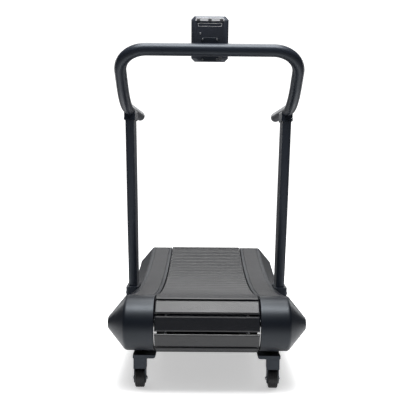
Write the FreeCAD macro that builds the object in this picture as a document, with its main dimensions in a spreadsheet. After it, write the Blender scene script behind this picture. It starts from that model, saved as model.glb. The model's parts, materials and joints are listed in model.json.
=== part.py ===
import FreeCAD, Part
import math
import os
import Sketcher

# Curved manual treadmill, in millimetres. +Z is up, +Y is the way the walking surface runs
# (towards the rear), and the origin is on the floor under the middle of the machine.
# The runner faces -Y, where the console and the transport wheels are.

Vector = FreeCAD.Vector
Rotation = FreeCAD.Rotation
Placement = FreeCAD.Placement

os.makedirs("parts", exist_ok=True)
document = FreeCAD.newDocument("CurvedTreadmill")
sheet = document.addObject("Spreadsheet::Sheet", "Sizes")

DRIVING_SIZES = {
    # walking surface
    "drum_span": 1539.0,            # between the two drum axes
    "drum_height": 289.0,           # drum axes above the floor
    "belt_radius": 103.5,           # middle of the drive belt, where it wraps a drum
    "deck_dip": 76.0,               # how far the tread sags from the drums to mid-length
    "slat_pitch": 65.0,             # wanted distance between slats
    "slat_width": 62.8,
    "slat_length": 432.0,
    "slat_plate": 10.5,
    "slat_rib_width": 18.0,
    "slat_rib_depth": 12.0,
    "slat_rib_gap": 16.0,           # rib's end to the drive belt
    "slat_seat": 0.15,              # under each flat slat, for the belt's curve
    "drive_belt_inset": 26.0,       # middle of a drive belt from the slat's end
    "drive_belt_width": 32.0,
    "drive_belt_thick": 8.0,
    "drive_belt_split": 1.0,        # each end of a belt length stops this far short
    "moving_gap": 0.3,              # between pieces that pass each other
    "running_gap": 0.05,            # shaft in a bore, on the radius
    # drums
    "shaft_radius": 15.0,
    "shaft_overhang": 8.0,          # shaft's end past the bearing
    "shaft_hole_gap": 6.0,          # round the shaft, in the rail
    "pulley_width": 32.0,
    "pulley_rim": 13.0,
    "pulley_web": 8.0,
    "pulley_hub_radius": 30.0,
    # frame rails and what they carry
    "rail_gap": 16.0,               # slat's end to the rail
    "rail_width": 40.0,
    "rail_wall": 3.0,
    "rail_drop": 5.5,               # rail's top below the drive belt
    "rail_below": 20.0,             # rail's underside below the deck's middle line
    "rail_overrun": 35.0,           # rail past the drum axis
    "cross_tube_radius": 22.0,
    "cross_tube_spread": 0.72,      # share of the deck between the outermost tubes
    "roller_radius": 16.0,
    "roller_width": 24.0,
    "roller_spacing": 64.0,
    "roller_end_space": 90.0,       # from the first roller to the drum's tangent point
    "roller_bolt_radius": 4.0,
    "roller_collar_radius": 6.0,
    "roller_head_radius": 7.0,
    "roller_head_thick": 5.0,
    "bearing_flange_radius": 45.0,
    "bearing_flange_thick": 12.0,
    "bearing_boss_radius": 28.0,
    "bearing_boss_thick": 26.0,
    "clutch_radius": 24.0,
    "clutch_width": 14.0,
    "tension_bolt_radius": 5.0,
    "tension_bolt_length": 110.0,
    "tension_head_radius": 9.0,
    "tension_head_thick": 8.0,
    "tension_lug_thick": 12.0,
    "tension_lug_height": 30.0,
    "tension_lug_inset": 20.0,      # lug from the bolt's free end
    "sensor_thick": 12.0,
    "sensor_long": 24.0,
    "sensor_tall": 36.0,
    "sensor_from_axis": 45.0,
    "sensor_round": 2.0,
    # covers
    "cover_rise": 11.5,             # cover's top above the drive belt
    "cover_gap": 4.0,               # slat's end to the cover
    "cover_slope_width": 77.0,      # from the flat top's edge out to the widest place
    "cover_side_gap": 1.0,          # top cover to the skirt
    "tip_radius": 24.0,             # half-height of the flat outermost face
    "cover_wall": 3.0,
    "cover_seam": 1.0,
    "cover_lip": 18.0,
    "grip_inner_margin": 16.0,
    "grip_width": 88.0,
    "grip_outer_margin": 17.0,
    "grip_depth": 3.0,
    "grip_proud": 1.5,
    "grip_side_gap": 0.4,
    "grip_end_space": 14.0,
    "skirt_lip": 40.0,
    # uprights and sockets
    "upright_width": 43.0,
    "upright_depth": 125.0,
    "upright_corner": 15.0,
    "upright_wall": 3.0,
    "upright_from_drum": 598.5,     # upright's foot behind the front drum's axis
    "upright_lean": 189.5,          # how far the top stands before the foot
    "upright_tall": 960.0,
    "upright_seat": 5.0,            # upright's foot above the socket's
    "socket_gap": 0.5,              # edge of the flat top to the socket
    "socket_inner_wall": 4.0,
    "socket_outer_wall": 11.5,
    "socket_depth": 150.0,
    "socket_below": 18.0,           # socket's foot below the deck's middle line
    "socket_tall": 150.0,
    "socket_arm_depth": 90.0,
    "socket_arm_up": 10.0,
    "socket_arm_height": 85.0,
    "socket_bolt_radius": 5.0,
    "socket_bolt_head": 8.0,
    "socket_bolt_down": 33.0,       # bolts below the socket's rim
    "socket_bolt_spread": 42.0,
    # handlebar and its clamps
    "bar_radius": 25.4,
    "bar_wall": 2.5,
    "handle_above_upright": 49.0,
    "handle_back_reach": 460.5,     # handle's end behind the upright's top
    "handle_bend_reach": 109.5,     # where the straight handle starts to rise
    "handle_bend_radius": 380.0,
    "handle_rise_angle": 40.0,
    "bar_front_reach": 494.5,       # front bar before the upright's top
    "bar_corner_radius": 115.0,
    "clamp_side": 0.1,              # clamp's side past the bar
    "clamp_length": 124.0,
    "clamp_drop": 4.0,              # saddle's edge below the middle of the bar
    "clamp_bolt_radius": 3.0,
    "clamp_bolt_head": 5.5,
    "clamp_bolt_up": 10.0,
    "clamp_bolt_spread": 44.0,
    "end_cap_thick": 5.0,
    "end_cap_plug": 14.0,
    "end_cap_taper": 1.0,
    # console, laid out about its own middle and then tilted
    "console_width": 150.0,
    "console_tall": 180.0,
    "console_corner": 14.0,
    "console_back": 22.0,
    "console_wall": 2.5,
    "console_bevel": 5.0,
    "bezel_thick": 9.0,
    "bezel_bevel": 3.0,
    "console_tilt": 15.0,
    "console_above_bar": 36.0,
    "lens_width": 112.0,
    "lens_tall": 66.0,
    "lens_thick": 2.0,
    "lens_recess": 1.0,
    "lens_ledge": 3.0,
    "lens_up": 38.0,
    "lens_gap": 0.3,
    "button_radius": 10.0,
    "button_tall": 8.0,
    "button_gap": 0.3,
    "button_proud": 2.0,
    "button_row_drop": 28.0,
    "button_row_step": 30.0,
    "button_spread": 28.0,
    "board_thick": 1.6,
    "board_back": 10.0,
    "bracket_plate": 4.0,
    "bracket_width": 68.0,
    "bracket_stand": 8.0,           # bar's surface to the console's back
    "saddle_width": 56.0,
    "saddle_half_height": 22.0,
    "console_screw_radius": 2.0,
    "console_screw_head": 4.0,
    "console_screw_x": 29.0,
    "console_screw_high": 1.0,
    "console_screw_low": -77.0,
    "shell_screw_x": 38.0,          # lone screw on the back shell
    "shell_screw_up": 24.0,
    "trim_width": 118.0,
    "trim_tall": 12.0,
    "trim_thick": 1.5,
    "tab_width": 14.0,
    "tab_tall": 8.0,
    "tab_step": 46.0,
    "badge_wide": 88.0,
    "badge_tall": 13.0,
    "badge_deep": 1.0,
    "badge_up": 58.0,
    "grommet_x": 43.0,
    "grommet_down": 73.0,
    "grommet_wide": 14.0,
    "grommet_tall": 9.0,
    # transport wheels
    "wheel_radius": 40.0,
    "wheel_width": 40.0,
    "wheel_outset": 13.0,           # middle of the wheel from the rail's outer face
    "wheel_hub_radius": 14.4,
    "wheel_rim_radius": 24.8,
    "wheel_chamfer": 5.0,
    "axle_radius": 6.0,
    "axle_head_radius": 10.0,
    "axle_head_thick": 7.0,
    "fork_gap": 0.6,
    "fork_cheek": 5.0,
    "fork_depth": 40.0,
    "fork_crown_gap": 4.0,          # over the wheel's top
    "fork_crown_side": 2.0,         # past the cheeks
    # brackets under the rails, front and rear
    "foot_block_drop": 24.0,        # top of the block below the covers
    "foot_block_thick": 15.0,
    "foot_block_inset": 15.0,       # inwards of the rail's inner face
    "foot_block_outset": 42.0,      # outwards of the rail's outer face
    "foot_block_overrun": 5.5,      # past the drum's axis
    "foot_block_round": 12.0,       # lower inner corner of the front blocks
    "foot_plate_thick": 8.0,
    "foot_plate_tall": 143.0,
    "foot_plate_back": 104.5,       # plate's inner edge from the drum's axis
    "foot_plate_deep": 50.0,
    # levelling feet
    "foot_inset": 2.0,              # foot's axis inwards of the rail's outer face
    "ground_back": 34.5,            # wheel and foot axes from the drums' axes
    "foot_stud_radius": 6.0,
    "foot_stud_short": 6.0,         # stud's top below the block's
    "foot_pad_radius": 28.0,
    "foot_pad_thick": 14.0,
    "foot_pad_edge": 8.4,
    "foot_pad_top_radius": 19.6,
    "lock_nut_radius": 11.0,
    "lock_nut_thick": 8.0,
    "lift_bar_radius": 14.0,
    "lift_bar_back": 17.5,          # from the rear drum's axis
}


class Size:
    """A length: its value now, and the expression on the spreadsheet that gives it."""

    def __init__(self, value, text):
        self.value = value
        self.text = text

    def __add__(self, other):
        return combine(self, "+", other)

    def __radd__(self, other):
        return combine(other, "+", self)

    def __sub__(self, other):
        return combine(self, "-", other)

    def __rsub__(self, other):
        return combine(other, "-", self)

    def __mul__(self, other):
        return combine(self, "*", other)

    def __rmul__(self, other):
        return combine(other, "*", self)

    def __truediv__(self, other):
        return combine(self, "/", other)

    def __neg__(self):
        return combine(0, "-", self)


def as_size(number):
    if isinstance(number, Size):
        return number
    return Size(float(number), repr(float(number)))


def combine(first, sign, second):
    first = as_size(first)
    second = as_size(second)
    values = {
        "+": lambda: first.value + second.value,
        "-": lambda: first.value - second.value,
        "*": lambda: first.value * second.value,
        "/": lambda: first.value / second.value,
    }
    return Size(values[sign](), "(%s %s %s)" % (first.text, sign, second.text))


class SizeTable:
    """Gives each row of the spreadsheet as a named Size."""

    def __init__(self):
        self.row = 0

    def add(self, name, value):
        self.row += 1
        sheet.set("A%d" % self.row, name)
        sheet.set("B%d" % self.row, "%.9f" % value)
        sheet.setAlias("B%d" % self.row, name)
        setattr(self, name, Size(float(value), "Sizes." + name))

    def tie(self, name, length):
        """A row whose cell is a formula on other rows."""
        self.add(name, length.value)
        sheet.set("B%d" % self.row, "=" + length.text.replace("Sizes.", ""))


size = SizeTable()
for size_name, size_value in DRIVING_SIZES.items():
    size.add(size_name, size_value)


# ---- sizes worked out from the driving ones ----

def tie_widths():
    """Across the machine, everything is laid outwards from the slats' ends."""
    slat_end = size.slat_length / 2
    size.tie("drive_belt_x", slat_end - size.drive_belt_inset)
    size.tie("slat_rib_length",
             (size.drive_belt_x - size.drive_belt_width / 2 - size.slat_rib_gap) * 2)
    size.tie("rail_inner_x", slat_end + size.rail_gap)
    size.tie("rail_outer_x", size.rail_inner_x + size.rail_width)
    size.tie("shaft_half_length", size.rail_outer_x + size.bearing_flange_thick
             + size.bearing_boss_thick + size.shaft_overhang)
    size.tie("cover_inner_x", slat_end + size.cover_gap)
    size.tie("grip_inner_x", size.cover_inner_x + size.grip_inner_margin)
    size.tie("grip_outer_x", size.grip_inner_x + size.grip_width)
    size.tie("cover_outer_x", size.grip_outer_x + size.grip_outer_margin)
    size.tie("half_width", size.cover_outer_x + size.cover_slope_width)
    size.tie("socket_inner_x", size.cover_outer_x + size.socket_gap)
    size.tie("upright_x", size.socket_inner_x + size.socket_inner_wall + size.upright_width / 2)
    size.tie("socket_outer_x", size.upright_x + size.upright_width / 2 + size.socket_outer_wall)
    size.tie("clamp_width", (size.bar_radius + size.clamp_side) * 2)
    size.tie("wheel_x", size.rail_outer_x + size.wheel_outset)
    size.tie("foot_x", size.rail_outer_x - size.foot_inset)
    size.tie("foot_block_inner_x", size.rail_inner_x - size.foot_block_inset)
    size.tie("foot_block_outer_x", size.rail_outer_x + size.foot_block_outset)


def tie_heights():
    """Heights follow the drums' axes, the drive belt's wrap and the deck's dip."""
    size.tie("rail_above", size.belt_radius - size.rail_drop)
    size.tie("cover_radius", size.belt_radius + size.cover_rise)
    size.tie("socket_low", size.drum_height - size.deck_dip - size.socket_below)
    size.tie("socket_high", size.socket_low + size.socket_tall)
    size.tie("socket_arm_low", size.socket_low + size.socket_arm_up)
    size.tie("socket_bolt_z", size.socket_high - size.socket_bolt_down)
    size.tie("upright_foot_z", size.socket_low + size.upright_seat)
    size.tie("upright_top_z", size.upright_foot_z + size.upright_tall)
    size.tie("handle_height", size.upright_top_z + size.handle_above_upright)
    size.tie("foot_block_high", size.drum_height - size.cover_radius - size.foot_block_drop)
    size.tie("foot_block_low", size.foot_block_high - size.foot_block_thick)
    size.tie("foot_plate_high", size.foot_block_low + size.foot_plate_tall)
    size.tie("lift_bar_z", size.foot_block_high - size.lift_bar_radius)


def tie_lengths():
    """Along the machine, things keep their distance from the nearer drum's axis."""
    half_span = size.drum_span / 2
    size.tie("upright_foot_y", size.upright_from_drum - half_span)
    size.tie("upright_top_y", size.upright_foot_y - size.upright_lean)
    size.tie("handle_end_y", size.upright_top_y + size.handle_back_reach)
    size.tie("handle_bend_y", size.upright_top_y - size.handle_bend_reach)
    size.tie("bar_front_y", size.upright_top_y - size.bar_front_reach)
    size.tie("wheel_y", size.ground_back - half_span)
    size.tie("foot_y", half_span - size.ground_back)
    size.tie("foot_block_outer_y", half_span + size.foot_block_overrun)
    size.tie("foot_plate_near", half_span - size.foot_plate_back)
    size.tie("foot_plate_far", size.foot_plate_near + size.foot_plate_deep)
    size.tie("lift_bar_y", half_span - size.lift_bar_back)


def work_out_deck():
    """Solve the deck: concentric arcs about one point high above the middle of the machine.

    The drive belt's top run touches both drums from outside, and the bottom run is the same
    arc one drum diameter lower, so each drum is wrapped over exactly half a turn.
    """
    half_span = size.drum_span.value / 2
    drum = size.belt_radius.value
    low = drum - size.deck_dip.value
    top_radius = (half_span ** 2 + low ** 2 - drum ** 2) / (2 * (drum - low))
    middle_radius = top_radius + drum
    half_angle = math.asin(half_span / middle_radius)
    size.add("top_radius", top_radius)
    size.add("bottom_radius", top_radius + 2 * drum)
    size.add("middle_radius", middle_radius)
    size.add("arc_centre_z", size.drum_height.value + middle_radius * math.cos(half_angle))
    size.add("half_angle", math.degrees(half_angle))


def whole_slats(run_length):
    return max(2, round(run_length / size.slat_pitch.value))


tie_widths()
tie_heights()
tie_lengths()
work_out_deck()
HALF_ANGLE = math.radians(size.half_angle.value)
TOP_COUNT = whole_slats(2 * HALF_ANGLE * size.top_radius.value)
BOTTOM_COUNT = whole_slats(2 * HALF_ANGLE * size.bottom_radius.value)
DRUM_COUNT = whole_slats(math.pi * size.belt_radius.value)
CROSS_TUBE_COUNT = 4

half_span = size.drum_span / 2
belt_half_thick = size.drive_belt_thick / 2
fork_outer = size.wheel_width / 2 + size.fork_gap + size.fork_cheek

# the side slope falls from the flat top to the outermost face
slope_run = size.half_width - size.cover_outer_x
slope_fall = size.cover_radius - size.tip_radius
SLOPE = slope_fall.value / slope_run.value
size.add("slope_wall", size.cover_wall.value * math.hypot(1, SLOPE))

# how far an upright leans forwards for each unit of height
lean = (size.upright_top_y - size.upright_foot_y) / (size.upright_top_z - size.upright_foot_z)
LEAN = Vector(0, lean.value, 1)


def slope_height(x):
    """Height of the side slope's outer surface over the deck's middle line."""
    return size.cover_radius - (x - size.cover_outer_x) * slope_fall / slope_run


# ---- building helpers ----

LEAST_CUT = 1.0                     # cubic millimetres that any pocket must remove

nodes = []


def bind(thing, path, length):
    """Set a size on a feature and tie it to the spreadsheet."""
    thing.setExpression(path, as_size(length).text)


def new_body(label):
    body = document.addObject("PartDesign::Body", label)
    body.Label = label
    nodes.append(body)
    return body


def new_sketch(body, role, right=0, up=0, out=0, turn_axis=Vector(0, 0, 1), turn=0.0):
    """A sketch on one of the body's own planes, shifted and turned in that plane's axes."""
    planes = [item for item in body.Origin.OriginFeatures if item.Role == role]
    sketch = body.newObject("Sketcher::SketchObject", body.Name + "_sketch")
    sketch.AttachmentSupport = [(planes[0], "")]
    sketch.MapMode = "FlatFace"
    shift = [as_size(right), as_size(up), as_size(out)]
    base = Vector(*[part.value for part in shift])
    sketch.AttachmentOffset = Placement(base, Rotation(turn_axis, turn))
    for axis_name, part in zip("xyz", shift):
        bind(sketch, "AttachmentOffset.Base." + axis_name, part)
    return sketch


def pin_point(sketch, geometry, end, x, y):
    """Hold one end of a sketch line at a place given by two sizes."""
    for kind, place in (("DistanceX", as_size(x)), ("DistanceY", as_size(y))):
        held = sketch.addConstraint(
            Sketcher.Constraint(kind, -1, 1, geometry, end, place.value))
        bind(sketch, "Constraints[%d]" % held, place)


def add_outline(sketch, points):
    """A closed outline of straight edges."""
    first = sketch.GeometryCount
    count = len(points)
    corners = [Vector(as_size(x).value, as_size(y).value, 0) for x, y in points]
    for index in range(count):
        edge = Part.LineSegment(corners[index], corners[(index + 1) % count])
        sketch.addGeometry(edge, False)
    for index in range(count):
        following = first + (index + 1) % count
        sketch.addConstraint(Sketcher.Constraint("Coincident", first + index, 2, following, 1))
    for index, (x, y) in enumerate(points):
        pin_point(sketch, first + index, 1, x, y)


def add_rectangle(sketch, left, right, low, high):
    add_outline(sketch, [(left, low), (right, low), (right, high), (left, high)])


def add_circle(sketch, x, y, radius):
    radius = as_size(radius)
    centre = Vector(as_size(x).value, as_size(y).value, 0)
    index = sketch.addGeometry(Part.Circle(centre, Vector(0, 0, 1), radius.value), False)
    pin_point(sketch, index, 3, x, y)
    held = sketch.addConstraint(Sketcher.Constraint("Radius", index, radius.value))
    bind(sketch, "Constraints[%d]" % held, radius)


def add_rounded_rectangle(sketch, left, right, low, high, radius):
    """A rectangle whose corners are quarter circles."""
    sides = [
        ((left + radius, low), (right - radius, low)),
        ((right, low + radius), (right, high - radius)),
        ((right - radius, high), (left + radius, high)),
        ((left, high - radius), (left, low + radius)),
    ]
    centres = [
        (right - radius, low + radius),
        (right - radius, high - radius),
        (left + radius, high - radius),
        (left + radius, low + radius),
    ]
    first = sketch.GeometryCount
    for start, end in sides:
        points = [Vector(as_size(x).value, as_size(y).value, 0) for x, y in (start, end)]
        sketch.addGeometry(Part.LineSegment(*points), False)
    for index, (x, y) in enumerate(centres):
        middle = Vector(as_size(x).value, as_size(y).value, 0)
        circle = Part.Circle(middle, Vector(0, 0, 1), as_size(radius).value)
        start_angle = math.radians(90 * index - 90)
        arc = Part.ArcOfCircle(circle, start_angle, start_angle + math.pi / 2)
        sketch.addGeometry(arc, False)
    for index, (start, end) in enumerate(sides):
        pin_point(sketch, first + index, 1, *start)
        pin_point(sketch, first + index, 2, *end)
    for index in range(4):
        side = first + index
        arc = first + 4 + index
        after = first + (index + 1) % 4
        sketch.addConstraint(Sketcher.Constraint("Coincident", arc, 1, side, 2))
        sketch.addConstraint(Sketcher.Constraint("Coincident", arc, 2, after, 1))
        held = sketch.addConstraint(Sketcher.Constraint("Radius", arc, as_size(radius).value))
        bind(sketch, "Constraints[%d]" % held, radius)


def add_pad(body, sketch, length, both_ways=False, reverse=False, direction=None):
    pad = body.newObject("PartDesign::Pad", body.Name + "_pad")
    pad.Profile = sketch
    pad.Midplane = both_ways
    pad.Reversed = reverse
    if direction:
        pad.UseCustomVector = True
        pad.Direction = direction
        pad.AlongSketchNormal = True
    bind(pad, "Length", length)
    body.Tip = pad
    return pad


def add_pocket(body, sketch, length, both_ways=False, reverse=False, direction=None):
    """Cut a pocket, and make sure that it did remove material."""
    document.recompute()
    before = body.Shape.Volume
    pocket = body.newObject("PartDesign::Pocket", body.Name + "_pocket")
    pocket.Profile = sketch
    pocket.Midplane = both_ways
    pocket.Reversed = reverse
    if direction:
        pocket.UseCustomVector = True
        pocket.Direction = direction
        pocket.AlongSketchNormal = True
    bind(pocket, "Length", length)
    body.Tip = pocket
    document.recompute()
    if before - body.Shape.Volume < LEAST_CUT:
        raise RuntimeError("%s cuts nothing in %s" % (pocket.Name, body.Label))
    return pocket


def add_revolution(body, sketch, angle):
    """Turn a section about the sketch's own horizontal axis, half each way."""
    turned = body.newObject("PartDesign::Revolution", body.Name + "_turned")
    turned.Profile = sketch
    turned.ReferenceAxis = (sketch, ["H_Axis"])
    turned.Midplane = True
    bind(turned, "Angle", angle)
    body.Tip = turned
    return turned


def add_pattern(body, features, sketch, angle, count):
    """Repeat features about the sketch's normal, over a whole angle."""
    document.recompute()
    pattern = body.newObject("PartDesign::PolarPattern", body.Name + "_pattern")
    pattern.Originals = features
    pattern.Axis = (sketch, ["N_Axis"])
    pattern.Angle = angle
    pattern.Occurrences = count
    body.Tip = pattern
    return pattern


def add_edge_finish(body, kind, radius, wanted):
    """Fillet or chamfer the edges of the body that the test picks out."""
    document.recompute()
    tip = body.Tip
    picked = []
    for index, edge in enumerate(tip.Shape.Edges):
        if wanted(edge):
            picked.append("Edge%d" % (index + 1))
    finish = body.newObject("PartDesign::" + kind, body.Name + "_" + kind.lower())
    finish.Base = (tip, picked)
    bind(finish, "Radius" if kind == "Fillet" else "Size", radius)
    body.Tip = finish
    return finish


def is_straight_along(edge, direction):
    if len(edge.Vertexes) != 2 or not isinstance(edge.Curve, Part.Line):
        return False
    return abs(edge.tangentAt(edge.FirstParameter).dot(direction)) > 0.999


def deck_sketch(body, first_angle=0.0, out=0):
    """Side view of the deck with its origin at the centre of the deck's arcs."""
    return new_sketch(body, "YZ_Plane", up=size.arc_centre_z, out=out, turn=first_angle)


def deck_section(body):
    """Cross-section of the deck at mid-length: across, and up from the arcs' centre."""
    return new_sketch(body, "XZ_Plane", up=size.arc_centre_z)


def drum_section(body, end, middle_turn=0.0):
    """Cross-section through a drum axis: across, and out from the axis."""
    return new_sketch(body, "XZ_Plane", up=size.drum_height, out=-half_span * end,
                      turn_axis=Vector(1, 0, 0), turn=middle_turn)


def outer_half_turn(end):
    """Turn from straight up to the middle of a drum's wrapped half."""
    return (size.half_angle.value - 90) * end


def mirrored_pair(build, name):
    for side, suffix in ((-1, "_left"), (1, "_right")):
        build(name + suffix, side)


# ---- moving walking surface ----

def arc_slats(label, radius, outwards, count):
    """Slats along a deck arc. The plate is on the side away from the rollers."""
    body = new_body(label)
    pitch_angle = 2 * size.half_angle.value / count
    first = -size.half_angle.value + pitch_angle / 2
    plate = deck_sketch(body, first)
    near = -radius - (belt_half_thick + size.slat_seat) * outwards
    far = near - size.slat_plate * outwards
    half = size.slat_width / 2
    add_rectangle(plate, -half, half, near, far)
    plate_pad = add_pad(body, plate, size.slat_length, both_ways=True)
    rib = deck_sketch(body, first)
    rib_half = size.slat_rib_width / 2
    add_rectangle(rib, -rib_half, rib_half, near + size.slat_rib_depth * outwards, near)
    rib_pad = add_pad(body, rib, size.slat_rib_length, both_ways=True)
    add_pattern(body, [plate_pad, rib_pad], plate, pitch_angle * (count - 1), count)


def drum_slats(label, end):
    """Slats wrapped round the outer half of a drum."""
    body = new_body(label)
    pitch_angle = 180.0 / DRUM_COUNT
    # the first slat is half a pitch past the top run's tangent point
    first = end * (size.half_angle.value - pitch_angle / 2)
    plate = new_sketch(body, "YZ_Plane", right=half_span * end, up=size.drum_height, turn=first)
    near = size.belt_radius + belt_half_thick
    half = size.slat_width / 2
    add_rectangle(plate, -half, half, near, near + size.slat_plate)
    plate_pad = add_pad(body, plate, size.slat_length, both_ways=True)
    rib = new_sketch(body, "YZ_Plane", right=half_span * end, up=size.drum_height, turn=first)
    rib_half = size.slat_rib_width / 2
    add_rectangle(rib, -rib_half, rib_half, near - size.slat_rib_depth, near)
    rib_pad = add_pad(body, rib, size.slat_rib_length, both_ways=True)
    sweep = pitch_angle * (DRUM_COUNT - 1)
    pattern = add_pattern(body, [plate_pad, rib_pad], plate, sweep, DRUM_COUNT)
    pattern.Reversed = end > 0


def belt_pair_section(sketch, low, high):
    """The left and right drive belts, cut across."""
    for side in (-1, 1):
        middle = size.drive_belt_x * side
        half = size.drive_belt_width / 2
        add_rectangle(sketch, middle - half, middle + half, low, high)


def arc_drive_belts(label, radius):
    body = new_body(label)
    section = deck_section(body)
    belt_pair_section(section, -radius - belt_half_thick, -radius + belt_half_thick)
    short = size.drive_belt_split / radius * (360 / math.pi)
    add_revolution(body, section, size.half_angle * 2 - short)


def drum_drive_belts(label, end):
    body = new_body(label)
    section = drum_section(body, end, outer_half_turn(end))
    inner = size.belt_radius - belt_half_thick - size.moving_gap
    belt_pair_section(section, inner, size.belt_radius + belt_half_thick)
    short = size.drive_belt_split / size.belt_radius * (360 / math.pi)
    add_revolution(body, section, 180 - short)


def shaft(label, end):
    rod = document.addObject("Part::Cylinder", label)
    rod.Label = label
    rod.Placement = Placement(Vector(0, 0, 0), Rotation(Vector(0, 1, 0), 90))
    bind(rod, "Radius", size.shaft_radius)
    bind(rod, "Height", size.shaft_half_length * 2)
    bind(rod, "Placement.Base.x", -size.shaft_half_length)
    bind(rod, "Placement.Base.y", half_span * end)
    bind(rod, "Placement.Base.z", size.drum_height)
    nodes.append(rod)


def pulleys(label, end):
    """Two belt pulleys, each a rim, a web and a hub on the shaft."""
    body = new_body(label)
    section = drum_section(body, end)
    rim_outer = size.belt_radius - belt_half_thick - size.moving_gap
    rim_inner = rim_outer - size.pulley_rim
    for side in (-1, 1):
        middle = size.drive_belt_x * side
        half = size.pulley_width / 2
        web = size.pulley_web / 2
        add_outline(section, [
            (middle - half, size.shaft_radius),
            (middle + half, size.shaft_radius),
            (middle + half, size.pulley_hub_radius),
            (middle + web, size.pulley_hub_radius),
            (middle + web, rim_inner),
            (middle + half, rim_inner),
            (middle + half, rim_outer),
            (middle - half, rim_outer),
            (middle - half, rim_inner),
            (middle - web, rim_inner),
            (middle - web, size.pulley_hub_radius),
            (middle - half, size.pulley_hub_radius),
        ])
    add_revolution(body, section, 360)


arc_slats("slats_top", size.top_radius, -1, TOP_COUNT)
arc_slats("slats_bottom", size.bottom_radius, 1, BOTTOM_COUNT)
arc_drive_belts("drive_belts_top", size.top_radius)
arc_drive_belts("drive_belts_bottom", size.bottom_radius)
for drum_name, drum_end in (("front", -1), ("rear", 1)):
    drum_slats("slats_" + drum_name, drum_end)
    drum_drive_belts("drive_belts_" + drum_name, drum_end)
    shaft(drum_name + "_shaft", drum_end)
    pulleys(drum_name + "_pulleys", drum_end)


# ---- frame ----

def side_rail(label, side):
    """Box-section rail bent to the deck's curve, with the drum bearings' holes and a lug."""
    body = new_body(label)
    section = deck_section(body)
    inner = size.rail_inner_x * side
    outer = size.rail_outer_x * side
    high = size.rail_above - size.middle_radius
    low = -size.middle_radius - size.rail_below
    wall = size.rail_wall
    add_rectangle(section, inner, outer, low, high)
    add_rectangle(section, inner + wall * side, outer - wall * side, low + wall, high - wall)
    overrun = size.rail_overrun / size.middle_radius * (180 / math.pi)
    add_revolution(body, section, (size.half_angle + overrun) * 2)

    lug = new_sketch(body, "YZ_Plane", out=outer)
    lug_half = size.tension_lug_height / 2
    bolt_start = half_span - size.bearing_flange_radius - size.tension_bolt_length
    lug_near = bolt_start + size.tension_lug_inset
    add_rectangle(lug, lug_near, lug_near + size.tension_lug_thick,
                  size.drum_height - lug_half, size.drum_height + lug_half)
    add_pad(body, lug, size.bearing_flange_thick * 2, reverse=side < 0)
    bolt_hole = new_sketch(body, "XZ_Plane", out=-half_span)
    add_circle(bolt_hole, outer + size.bearing_flange_thick * side, size.drum_height,
               size.tension_bolt_radius)
    add_pocket(body, bolt_hole, half_span, reverse=True)

    shaft_holes = new_sketch(body, "YZ_Plane", out=inner)
    shaft_hole = size.shaft_radius + size.shaft_hole_gap
    for end in (-1, 1):
        add_circle(shaft_holes, half_span * end, size.drum_height, shaft_hole)
    add_pocket(body, shaft_holes, size.rail_width, reverse=side > 0)

    bolt_holes = roller_sketch(body, out=inner)
    add_circle(bolt_holes, 0, -roller_centre_radius, size.roller_bolt_radius)
    first_hole = add_pocket(body, bolt_holes, size.rail_wall, reverse=side > 0)
    add_pattern(body, [first_hole], bolt_holes, ROLLER_SWEEP, ROLLER_COUNT)


roller_centre_radius = size.top_radius + belt_half_thick + size.moving_gap + size.roller_radius
roller_room = 2 * HALF_ANGLE * size.top_radius.value - 2 * size.roller_end_space.value
ROLLER_COUNT = 1 + round(roller_room / size.roller_spacing.value)
ROLLER_SWEEP = math.degrees(roller_room / size.top_radius.value)


def roller_sketch(body, out=0):
    """Side view of the deck, turned so that the first track roller is straight down."""
    return deck_sketch(body, -ROLLER_SWEEP / 2, out)


def track_rollers(label):
    """Ball-bearing rollers in two rows, under the drive belts' top run."""
    body = new_body(label)
    rings = []
    for side in (-1, 1):
        section = roller_sketch(body, size.drive_belt_x * side)
        add_circle(section, 0, -roller_centre_radius, size.roller_radius)
        add_circle(section, 0, -roller_centre_radius, size.roller_bolt_radius)
        rings.append(add_pad(body, section, size.roller_width, both_ways=True))
    add_pattern(body, rings, section, ROLLER_SWEEP, ROLLER_COUNT)


def roller_bolts(label):
    """Shouldered bolts that hold the rollers off the rails' inner walls."""
    body = new_body(label)
    pads = []
    for side in (-1, 1):
        roller_face = (size.drive_belt_x + size.roller_width / 2) * side
        head_face = (size.drive_belt_x - size.roller_width / 2) * side
        shank = roller_sketch(body, head_face)
        add_circle(shank, 0, -roller_centre_radius, size.roller_bolt_radius)
        reach = size.rail_inner_x + size.rail_wall - size.drive_belt_x + size.roller_width / 2
        pads.append(add_pad(body, shank, reach, reverse=side < 0))
        collar = roller_sketch(body, roller_face)
        add_circle(collar, 0, -roller_centre_radius, size.roller_collar_radius)
        collar_length = size.rail_inner_x - size.drive_belt_x - size.roller_width / 2
        pads.append(add_pad(body, collar, collar_length, reverse=side < 0))
        head = roller_sketch(body, head_face)
        add_circle(head, 0, -roller_centre_radius, size.roller_head_radius)
        pads.append(add_pad(body, head, size.roller_head_thick, reverse=side > 0))
    add_pattern(body, pads, head, ROLLER_SWEEP, ROLLER_COUNT)


def cross_tubes(label):
    """Round tubes between the rails, halfway between the belt's top and bottom runs."""
    body = new_body(label)
    sweep = 2 * size.half_angle.value * size.cross_tube_spread.value
    section = deck_sketch(body, -sweep / 2)
    add_circle(section, 0, -size.middle_radius, size.cross_tube_radius)
    add_circle(section, 0, -size.middle_radius, size.cross_tube_radius - size.rail_wall)
    tube = add_pad(body, section, size.rail_inner_x * 2, both_ways=True)
    add_pattern(body, [tube], section, sweep, CROSS_TUBE_COUNT)


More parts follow.
